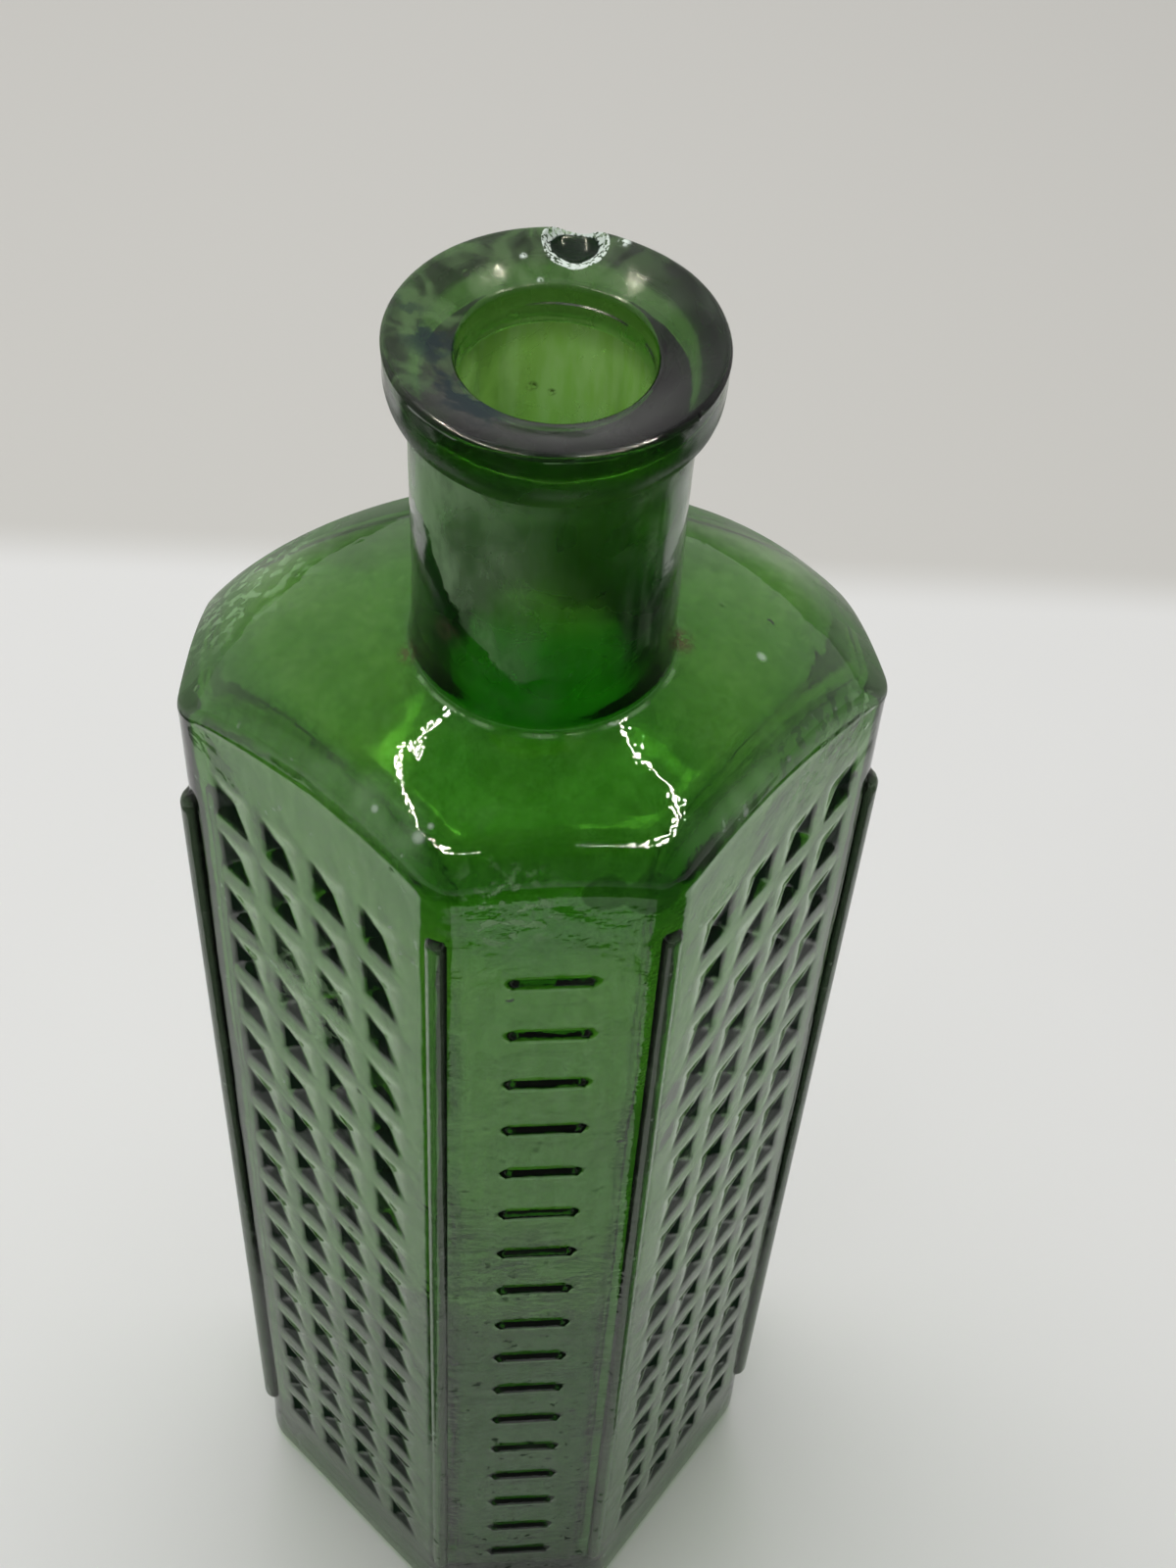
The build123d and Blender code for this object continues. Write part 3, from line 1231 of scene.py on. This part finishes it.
    def _ribs(self, points: Array, normals: Array, height: Array) -> Array:
        """The round ribs up the front and side corners.

        Args:
            points: The walls' ring in plan.
            normals: Its outward normals.
            height: The walls' grid of heights.

        Returns:
            How far they stand out over the grid.
        """
        corners = [np.array(corner) for corner in self.plan.corners]
        out = np.zeros(height.shape)
        for index, rib in ((0, self.front_rib), (1, self.front_rib), (2, self.side_rib), (5, self.side_rib)):
            corner = corners[index]
            one = corners[index - 1] - corner
            two = corners[(index + 1) % 6] - corner
            one, two = one / np.linalg.norm(one), two / np.linalg.norm(two)
            half = math.acos(float(one @ two)) / 2
            inset = self.plan.rounding / math.sin(half) - self.plan.rounding + rib.radius - rib.rise
            axis = corner + (one + two) / np.linalg.norm(one + two) * inset
            beyond = np.maximum(height - rib.top, 0) + np.maximum(self.rib_foot - height, 0)
            gap = axis[None, :] - points
            ahead = np.sum(gap * normals, axis=1)[None, :]
            aside = np.sum(gap**2, axis=1)[None, :] - ahead**2
            room = rib.radius**2 - beyond**2 - aside
            out = np.maximum(out, np.where(room > 0, ahead + np.sqrt(np.maximum(room, 0)), 0))
        return out

    def _underside(self, skin: Skin) -> None:
        """Adds the push-up, the ring that the bottle stands on and the heel.

        Args:
            skin: The body's skin.
        """
        hollow = self.foot_ring + self.push_slope
        inner, _ = self.plan.ring(hollow + self.hollow_rounding, hollow)
        middle = inner.mean(axis=0)
        for share in self.push_shares:
            skin.add(lifted(middle + (inner - middle) * share, self.push_up - self.push_crown * share**2))
        for share in np.linspace(0, 1, 8):
            inset = hollow - self.push_slope * share
            flat, _ = self.plan.ring(inset + self.hollow_rounding, inset)
            skin.add(lifted(flat, (self.push_up - self.push_crown) * (1 - smooth(0.0, 1.0, share))))
        for inset in self.ring_insets:
            flat, _ = self.plan.ring(max(self.plan.rounding, inset + self.hollow_rounding), inset)
            skin.add(lifted(flat, 0.0))
        points, normals = self.plan.ring()
        for share in np.linspace(0, 1, 7)[:-1]:
            angle = share * math.pi / 2
            flat = points - normals * (self.heel * (1 - math.sin(angle)))
            skin.add(lifted(flat, self.heel * (1 - math.cos(angle))))

    def _wall_grid(self, top: Array) -> Array:
        """Heights of the walls' rings.

        Args:
            top: The height of the walls' upper edge at each column.

        Returns:
            The heights. They are squeezed together where the walls end lower.
        """
        facets = self.plan.stations(self.facet_length, self.facet_pitch, self.facet_rows, self.facet_middle)
        rows = np.array([*self.low_rows, *facets, *self.high_rows, self.exact_top])
        height = np.repeat(rows[:, None], len(top), axis=1)
        room = (top - self.rim_margin - self.even_top) / (self.exact_top - self.even_top)
        squeezed = self.even_top + (height - self.even_top) * np.minimum(1.0, room)[None, :]
        height = np.where(height > self.even_top, squeezed, height)
        last = height[-1]
        return np.vstack([height, np.array([last + (top - last) * share for share in self.last_shares])])

    def _walls(self, skin: Skin) -> Array:
        """Adds the outer walls with their facets, bars and ribs.

        Args:
            skin: The body's skin.

        Returns:
            The lean of each cell between its rings.
        """
        points, normals = self.plan.ring()
        height = self._wall_grid(self._rim(points, normals, self._roundings(points), 0.0, 0.0)[:, 2])
        flat = np.broadcast_to(points[None, :, :], (*height.shape, 2)).reshape(-1, 2)
        spots = lifted(flat, height.reshape(-1))
        wobble = waved(spots, self.shade_wander).reshape(height.shape)
        depth, marks, lean = self._facets(height, wobble)
        ribs = self._ribs(points, normals, height)
        waves = (waved(spots, self.wall_waves) - self.wall_inset).reshape(height.shape)
        waves = np.where(ribs > 0, 0.0, waves * smooth(*self.wall_fade, height))
        out = self._bars(height) + ribs - depth + waves
        out = np.where((self.plan.side == 0)[None, :], np.minimum(out, self.bar_rise), out)
        marks[Mark.CREST] = np.maximum(marks[Mark.CREST], smooth(*self.rib_crest, ribs) * self.rib_wear)
        for row in range(len(height)):
            at = points + normals * out[row][:, None]
            skin.add(lifted(at, height[row]), {mark: grid[row] for mark, grid in marks.items()})
        return lean

    def _pushed(self, ring: Array, amount: float, inset: float) -> Array:
        """A ring of the dome, pushed in by gentle waves along the dome's own normals.

        Args:
            ring: The ring's points.
            amount: The height of the waves.
            inset: A further push towards the inside.

        Returns:
            The moved points.
        """
        facing = ring - np.array([0.0, 0.0, self.dome_centre])
        facing /= np.linalg.norm(facing, axis=1)[:, None]
        push = amount * (waved(ring, self.dome_waves) - 1.0) - inset
        return ring + facing * push[:, None]

    def _shoulder(self, skin: Skin) -> None:
        """Adds the rim's rounding, the dome and the neck's foot.

        Args:
            skin: The body's skin.
        """
        points, normals = self.plan.ring()
        rear = smooth(*self.rim_rear, points[:, 1])
        scuffed = smooth(*self.rim_scuffed, points[:, 1])
        for share in np.linspace(0, 1, 11):
            ring = self._rim(points, normals, self._roundings(points), 0.0, share)
            wear_and_shade = self.rim_wear * math.sin(math.pi * share) * scuffed
            # Painted shade along the rear rim's lower edge, and painted dark green over the rear rim
            rim_edge_shade = self.rim_shade * rear * (1 - share)
            marks = {Mark.CREST: wear_and_shade, Mark.RIM: rear * share, Mark.SHADE: rim_edge_shade}
            skin.add(self._pushed(ring, self.rim_waves, self.wall_inset * (1 - share)), marks)
        outer = self._rim(points, normals, self._roundings(points), 0.0, 1.0)[:, :2]
        angle = self.plan.bearing()
        around = compass(angle)
        radius, _ = self._foot(self.neck_radius, self.neck_foot, 0.0, 0.0)
        for share in np.linspace(0, 1, 49)[1:-1]:
            flat = outer + (around * radius - outer) * share
            # Painted dark green on the dome beside the rear rim, fading away from it
            film = rear * (1 - smooth(*self.rim_green_fade, np.linalg.norm(flat - outer, axis=1)))
            amount = self.dome_crown * math.sin(math.pi * share) + self.dome_edge
            skin.add(self._pushed(lifted(flat, self._dome(flat)), amount, 0.0), {Mark.RIM: film})
        # Painted highlight: a broken pale ring round the front of the neck's foot, carried by the crest mark
        broken = smooth(*self.foot_highlight_breaks, ripple(lifted(around * radius, angle), 3.0, 4.7))
        front = around[:, 1] < self.foot_highlight_front
        for share in np.linspace(0, 1, 8):
            radius, height = self._foot(self.neck_radius, self.neck_foot, 0.0, share)
            line = self.foot_highlight * broken * (share < self.foot_highlight_end) * front
            skin.add(lifted(around * radius, height), {Mark.CREST: line})

    def _neck(self, skin: Skin) -> None:
        """Adds the neck's outside, its sheared end and its bore.

        Args:
            skin: The body's skin.
        """
        around = compass(self.plan.bearing())
        _, start = self._foot(self.neck_radius, self.neck_foot, 0.0, 1.0)
        for height in np.linspace(start, self.lip_foot, 34)[1:]:
            above, below = self.lip_foot - height, height - start
            calm = smooth(0.0, self.neck_calm, above) * smooth(0.0, self.neck_calm, below)
            push = calm * (waved(lifted(around * self.neck_radius, height), self.neck_waves) - self.neck_inset)
            skin.add(lifted(around * (self.neck_radius + push)[:, None], height))
        end = self.neck_end - self.seam_gap
        hidden = {Mark.SEAM: 1.0}
        for height in (self.lip_foot, *self.seam_heights, end):
            skin.add(lifted(around * (self.neck_radius - self.seam_gap), height), hidden)
        for radius in (*self.seam_radii, self.bore_radius + self.bore_lead):
            skin.add(lifted(around * radius, end), hidden)
        bore_end = self._foot(self.bore_radius, self.bore_foot, self.shoulder_wall, 1.0)[1]
        for height in np.linspace(end, bore_end, 34)[:-1]:
            waves = waved(lifted(around * self.bore_radius, height), self.bore_waves)
            push = smooth(0.0, self.bore_calm, end - height) * (waves + self.bore_widening)
            skin.add(lifted(around * (self.bore_radius + push)[:, None], height), {Mark.INSIDE: 1.0})

    def _blown(self, flat: Array, height: Array | float) -> Array:
        """A ring of the hollow, moved about as blown glass is.

        Args:
            flat: The ring's points in plan.
            height: Their height.

        Returns:
            The moved points.
        """
        ring = lifted(flat, height)
        facing = ring - np.array([0.0, 0.0, self.hollow_middle])
        facing[:, 2] *= self.hollow_lean
        facing /= np.linalg.norm(facing, axis=1)[:, None]
        thin = np.exp(-(((ring[:, 2] - self.thin_height) / self.thin_reach) ** 2))
        thin = thin * smooth(*self.thin_rear, ring[:, 1])
        return ring + facing * (waved(ring, self.hollow_waves) + self.thin_depth * thin)[:, None]

    def _hollow(self, skin: Skin) -> None:
        """Adds the inside of the shoulder and body, down to the floor.

        Args:
            skin: The body's skin.
        """
        around = compass(self.plan.bearing())
        points, normals = self.plan.ring(self.plan.rounding + self.wall, self.wall)
        low = self.floor + self.floor_rounding
        rings: list[tuple[Array, Array | float]] = []
        for share in np.linspace(1, 0, 7):
            radius, height = self._foot(self.bore_radius, self.bore_foot, self.shoulder_wall, share)
            rings.append((around * radius, height))
        rim = self._rim(points, normals, self.inner_rounding, self.shoulder_wall, 1.0)[:, :2]
        for share in np.linspace(0, 1, 25)[1:-1]:
            flat = around * radius + (rim - around * radius) * share
            rings.append((flat, self._dome(flat, self.shoulder_wall)))
        for share in np.linspace(1, 0, 8):
            ring = self._rim(points, normals, self.inner_rounding, self.shoulder_wall, share)
            rings.append((ring[:, :2], ring[:, 2]))
        top = ring[:, 2]
        rings += [(points, top + (low - top) * share) for share in np.linspace(0, 1, 70)[1:]]
        for share in np.linspace(0, 1, 7)[1:]:
            tilt = share * math.pi / 2
            flat = points - normals * (self.floor_rounding * (1 - math.cos(tilt)))
            rings.append((flat, low - self.floor_rounding * math.sin(tilt)))
        edge = points - normals * self.floor_rounding
        middle = edge.mean(axis=0)
        for share in self.floor_shares:
            rings.append((middle + (edge - middle) * share, self.floor + self.floor_crown * (1 - share**2)))
        for flat, height in rings:
            skin.add(self._blown(flat, height), {Mark.INSIDE: 1.0})

    def build(self) -> bpy.types.Object:
        """Builds the body.

        Returns:
            The piece.
        """
        skin = Skin(self.plan.count)
        self._underside(skin)
        first = len(skin.rings)
        lean = self._walls(skin)
        self._shoulder(skin)
        self._neck(skin)
        self._hollow(skin)
        leaning = np.zeros((len(skin.rings) - 1, skin.count), dtype=int)
        leaning[first:first + len(lean)] = lean
        return skin.piece("bottle_body", False, CREASE, leaning)


@dataclass
class Lip:
    """The applied lip. Millimetres."""

    radius: float = 15.2
    bore: float = 8.8
    socket: float = 13.1
    toe: float = 0.3
    top: float = 231.0
    foot: float = 223.6
    neck_end: float = 225.0
    band: float = 3.6
    dish: float = 1.9
    edge: float = 0.7
    count: int = 300
    crowding: float = 0.72
    bore_land: float = 9.15
    seam_radii: tuple[float, ...] = (9.25, 10.5, 11.7)
    seam_heights: tuple[float, ...] = (224.6, 224.1)
    chip_radius: float = 3.5
    chip_depth: float = 1.9
    chip_reach: float = 12.8
    chip_azimuth: float = 79.0
    chip_edge: Span = (-0.35, 0.0)
    chip_bottom: Span = (0.55, 1.1)
    waves: Waves = ((0.10, 7.0, 3.3), (0.03, 2.5, 5.5))
    inset: float = 0.12
    chip_waves: Waves = ((0.16, 1.6, 2.2),)

    def _section(self) -> list[tuple[float, float, float]]:
        """The lip's section, from its foot outwards and over the rim into the bore.

        Returns:
            Rows of radius, height and seam mark.
        """
        rows: list[tuple[float, float, float]] = [(self.socket + 0.05, self.foot, 0.0)]
        start = (self.socket + self.toe, self.foot)
        end = (self.radius, self.top - self.band)
        for swing in np.linspace(0, 1, 15) * math.pi / 2:
            reach = start[0] + (end[0] - start[0]) * math.sin(swing) ** 0.9
            rows.append((reach, start[1] + (end[1] - start[1]) * (1 - math.cos(swing)) ** 0.8, 0.0))
        for height in np.linspace(end[1], self.top - self.edge, 9)[1:]:
            rows.append((self.radius, height, 0.0))
        for swing in np.linspace(0, 1, 7)[1:] * math.pi / 2:
            reach = self.radius - self.edge * (1 - math.cos(swing))
            rows.append((reach, self.top - self.edge * (1 - math.sin(swing)), 0.0))
        outer = self.radius - self.edge
        inner = self.bore + self.edge
        for share in np.linspace(0, 1, 30)[1:]:
            reach = outer + (inner - outer) * share
            fall = smooth(self.radius - 0.4, self.bore - 0.6, reach)
            rows.append((reach, self.top - self.dish * (0.55 * fall + 0.45 * share**1.3) * 0.92, 0.0))
        last = rows[-1][1]
        drop = last - (self.top - self.dish - self.edge * 0.9)
        for swing in np.linspace(0, 1, 8)[1:] * math.pi / 2:
            rows.append((inner - self.edge * math.sin(swing), last - drop * (1 - math.cos(swing)), 0.0))
        for height in np.linspace(rows[-1][1], self.neck_end, 14)[1:]:
            rows.append((self.bore, height, 0.0))
        rows.append((self.bore_land, self.neck_end, 0.0))
        rows += [(reach, self.neck_end, 1.0) for reach in (*self.seam_radii, self.socket)]
        rows += [(self.socket, height, 1.0) for height in (*self.seam_heights, self.foot + 0.1)]
        return rows

    def _bowl(self, flat: Array, beside: float) -> Array:
        """The chip's hollow.

        Args:
            flat: Points in plan.
            beside: The height to give beside the chip.

        Returns:
            The hollow's height at each point.
        """
        chip = math.radians(self.chip_azimuth)
        centre = np.array([math.cos(chip), math.sin(chip)]) * self.chip_reach
        away = self.chip_radius**2 - np.sum((flat - centre) ** 2, axis=1)
        level = self.top + self.chip_radius - self.chip_depth
        return np.where(away > 0, level - np.sqrt(np.maximum(away, 0)), beside)

    def _on_neck(self, reach: float, height: float) -> bool:
        """Whether a ring without a seam mark meets the neck, and so stays as it is."""
        low = height < self.neck_end and reach < self.socket + 0.2
        return low or (reach <= self.bore and height <= self.neck_end)

    def build(self) -> bpy.types.Object:
        """Builds the lip with its chip.

        Returns:
            The piece.
        """
        turn = np.linspace(0, 2 * math.pi, self.count, endpoint=False)
        around = compass(turn - self.crowding * np.sin(turn) + math.radians(self.chip_azimuth))
        skin = Skin(self.count)
        cut = np.minimum(self._bowl(around * self.radius, self.top), self.top)
        base = self.top - self.band
        for reach, height, seam in self._section():
            flat = around * reach
            ring = lifted(flat, height)
            if seam or self._on_neck(reach, height):
                skin.add(ring, {Mark.SEAM: seam})
                continue
            push = waved(ring, self.waves) - self.inset
            if reach >= self.radius - 0.001:
                squeeze = (cut - base) / self.band if height > base else 1.0
                skin.add(lifted(around * (reach + push)[:, None], base + (height - base) * squeeze))
            elif height > base:
                ring[:, 2] += push
                bowl = self._bowl(flat, self.top + 1) + waved(ring, self.chip_waves)
                sunk = ring[:, 2] - bowl
                ring[:, 2] = np.where(sunk > 0, bowl, ring[:, 2])
                skin.add(ring, {Mark.CHIP: smooth(*self.chip_edge, sunk) + smooth(*self.chip_bottom, sunk)})
            else:
                skin.add(lifted(around * (reach + push)[:, None], height))
        return skin.piece("bottle_lip", True, CREASE)


@dataclass(frozen=True)
class Card:
    """A flat dark card just above the table. Metres."""

    name: str
    left: float
    right: float
    front: float
    back: float


@dataclass
class Studio:
    """The table, the soft light and the camera. Metres, apart from the camera's aim and distance."""

    table: Colour = (0.80, 0.80, 0.79, 1.0)
    wall: Colour = (0.62, 0.61, 0.58, 1.0)
    table_half: float = 3.0
    table_clouds: Grain = Grain(60.0, 3.0)
    wall_edge: Span = (0.188, 0.204)
    wall_slant: float = 0.09
    daylight: Colour = (1, 0.99, 0.97, 1)
    front_light: float = 0.12
    rear_light: float = 0.62
    lamp_power: float = 9.9
    lamp_place: tuple[float, float, float] = (-0.08, 0.2, 1.05)
    lamp_aim: tuple[float, float, float] = (0, 0.05, 0)
    tube_glow: float = 280.0
    tube_colour: Colour = (1.0, 0.93, 0.76, 1)
    tube_radius: float = 0.0017
    tube_height: float = 0.9
    left_tube: tuple[Span, ...] = (
        (-0.24, 0.268), (-0.347, 0.201), (-0.401, 0.091), (-0.406, -0.03),
        (-0.367, -0.124), (-0.324, -0.182), (-0.184, -0.243),
    )
    right_tube: tuple[Span, ...] = (
        (0.248, 0.161), (0.306, 0.052), (0.433, -0.043), (0.439, -0.128), (0.369, -0.205), (0.12, -0.239),
    )
    card_height: float = 0.003
    card_colour: Colour = (0.015, 0.02, 0.015, 1)
    cards: tuple[Card, ...] = (
        Card("left", -0.5, -0.036, -0.5, -0.01),
        Card("middle", -0.036, 0.036, -0.5, -0.157),
        Card("right", 0.036, 0.5, -0.5, -0.01),
        Card("far_left", -0.25, -0.178, -0.02, 0.16),
        Card("far_right", 0.168, 0.25, -0.02, 0.12),
    )
    sensor: float = 36.0
    lens: float = 2389.391 / 1600 * 36
    aim: tuple[float, float, float] = (-0.96, -49.22472, 230.95379)
    azimuth: float = -0.1306
    elevation: float = 0.89418
    roll: float = 0.07322
    distance: float = 169.92131

    def camera(self) -> None:
        """Makes the camera at the photograph's viewing angle."""
        aim = Vector(self.aim) * MM
        level = math.cos(self.elevation)
        away = Vector((math.sin(self.azimuth) * level, -math.cos(self.azimuth) * level, math.sin(self.elevation)))
        place = aim + away * self.distance * MM
        forward = (aim - place).normalized()
        across = forward.cross(Vector((0, 0, 1))).normalized()
        down = forward.cross(across)
        cosine, sine = math.cos(self.roll), math.sin(self.roll)
        axes = Matrix(((cosine, -sine, 0), (sine, cosine, 0), (0, 0, 1))) @ Matrix((across, down, forward))
        columns = Matrix((axes[0], -axes[1], -axes[2])).transposed()
        data = bpy.data.cameras.new("camera")
        data.sensor_width = self.sensor
        data.lens = self.lens
        data.clip_start = 0.01
        made = link(bpy.data.objects.new("camera", data))
        made.matrix_world = Matrix.Translation(place) @ columns.to_4x4()
        bpy.context.scene.camera = made

    def floor(self) -> None:
        """Makes the pale table, with the greyer wall beyond it painted on the same plane."""
        half = self.table_half
        corners = [(-half, -half, 0), (half, -half, 0), (half, half, 0), (-half, half, 0)]
        mesh = bpy.data.meshes.new("table_top")
        mesh.from_pydata(corners, [], [(0, 1, 2, 3)])
        made = link(bpy.data.objects.new("table_top", mesh))
        material, graph = new_graph("pale_table")
        place = graph.node("ShaderNodeSeparateXYZ", None, {0: graph.place})
        beyond = (place.other("Y") + place.other("X") * self.wall_slant).step(*self.wall_edge)
        clouded = tuple(channel * 0.97 for channel in self.table[:3]) + (1.0,)
        tint = graph.blend(beyond, graph.blend(graph.grain(self.table_clouds), self.table, clouded), self.wall)
        matte = graph.node("ShaderNodeBsdfPrincipled", None, {"Base Color": tint, "Roughness": 0.8})
        graph.node("ShaderNodeOutputMaterial", None, {"Surface": matte})
        mesh.materials.append(material)

    def room(self) -> None:
        """Makes the soft light of the room: bright behind the bottle, dim towards the front and overhead."""
        scene = bpy.context.scene
        scene.world = scene.world or bpy.data.worlds.new("room")
        scene.world.use_nodes = True
        graph = Graph(scene.world.node_tree)
        facing = graph.node("ShaderNodeSeparateXYZ", None, {0: graph.place.other("Generated")})
        behind = facing.other("Y").step(-0.6, 0.8)
        overhead = facing.other("Z").step(0.5, 1.0)
        strength = (self.front_light + (self.rear_light - self.front_light) * behind) * (1 - 0.6 * overhead)
        room = graph.node("ShaderNodeBackground", None, {"Color": self.daylight, "Strength": strength})
        graph.node("ShaderNodeOutputWorld", None, {"Surface": room})

    def lamp(self) -> None:
        """Makes the large soft lamp overhead, which no surface mirrors."""
        data = bpy.data.lights.new("softbox", "AREA")
        data.energy = self.lamp_power
        data.size = 1.0
        made = link(bpy.data.objects.new("softbox", data))
        made.location = self.lamp_place
        made.rotation_euler = (Vector(self.lamp_aim) - made.location).to_track_quat("-Z", "Y").to_euler()
        made.visible_glossy = False

    def _mirrored(self, made: bpy.types.Object) -> None:
        """Links an object to the scene so that only reflections see it.

        Args:
            made: The object, not yet linked to the scene.
        """
        made.visible_camera = made.visible_diffuse = made.visible_transmission = made.visible_shadow = False
        link(made)

    def arcs(self) -> None:
        """Makes two bent tube lamps overhead, whose reflections are the thin bright arcs on the shoulder."""
        material, graph = new_graph("tube_lamp")
        glow = graph.node("ShaderNodeEmission", None, {"Color": self.tube_colour, "Strength": self.tube_glow})
        graph.node("ShaderNodeOutputMaterial", None, {"Surface": glow})
        for side, places in (("left", self.left_tube), ("right", self.right_tube)):
            curve = bpy.data.curves.new("tube_" + side, "CURVE")
            curve.dimensions = "3D"
            curve.bevel_depth = self.tube_radius
            spline = curve.splines.new("NURBS")
            spline.points.add(len(places) - 1)
            for point, (across, back) in zip(spline.points, places):
                point.co = (across, back, self.tube_height, 1.0)
            spline.order_u = 3
            spline.use_endpoint_u = True
            curve.materials.append(material)
            self._mirrored(bpy.data.objects.new("tube_" + side, curve))

    def flag(self) -> None:
        """Makes dark cards in front of the bottle and beside it that only reflections see."""
        material, graph = new_graph("dark_card")
        inward = graph.across * 0.22 + graph.back
        outer = abs(graph.across).step(164.0, 182.0) * inward.step(125.0, 90.0)
        front = outer.largest(graph.back.step(-20.0, -34.0))
        clear = graph.node("ShaderNodeBsdfTransparent")
        dark = graph.node("ShaderNodeBsdfPrincipled", None, {"Base Color": self.card_colour, "Roughness": 0.9})
        graph.node("ShaderNodeOutputMaterial", None, {"Surface": graph.layered(front, clear, dark)})
        for card in self.cards:
            mesh = bpy.data.meshes.new("dark_card_" + card.name)
            near = [(card.left, card.front), (card.right, card.front)]
            far = [(card.right, card.back), (card.left, card.back)]
            mesh.from_pydata([(*corner, self.card_height) for corner in near + far], [], [(0, 1, 2, 3)])
            mesh.materials.append(material)
            self._mirrored(bpy.data.objects.new("dark_card_" + card.name, mesh))

    def build(self) -> None:
        """Makes everything that isn't the bottle."""
        self.floor()
        self.room()
        self.lamp()
        self.arcs()
        self.flag()
        self.camera()


def main() -> None:
    """Builds the bottle and the studio."""
    bpy.context.scene.view_settings.view_transform = "Standard"
    Studio().build()
    body = Body().build()
    body.data.materials.append(BottleGlass("green_body_glass").material())
    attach(body, "root")
    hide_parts("glass_body")
    log.info("body: %d faces", len(body.data.polygons))
    lip = Lip().build()
    lip.data.materials.append(LipGlass("green_lip_glass").material())
    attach(lip, "root")
    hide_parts("applied_lip")
    log.info("lip: %d faces", len(lip.data.polygons))


if __name__ == "__main__":
    logging.basicConfig(level=logging.INFO)
    main()
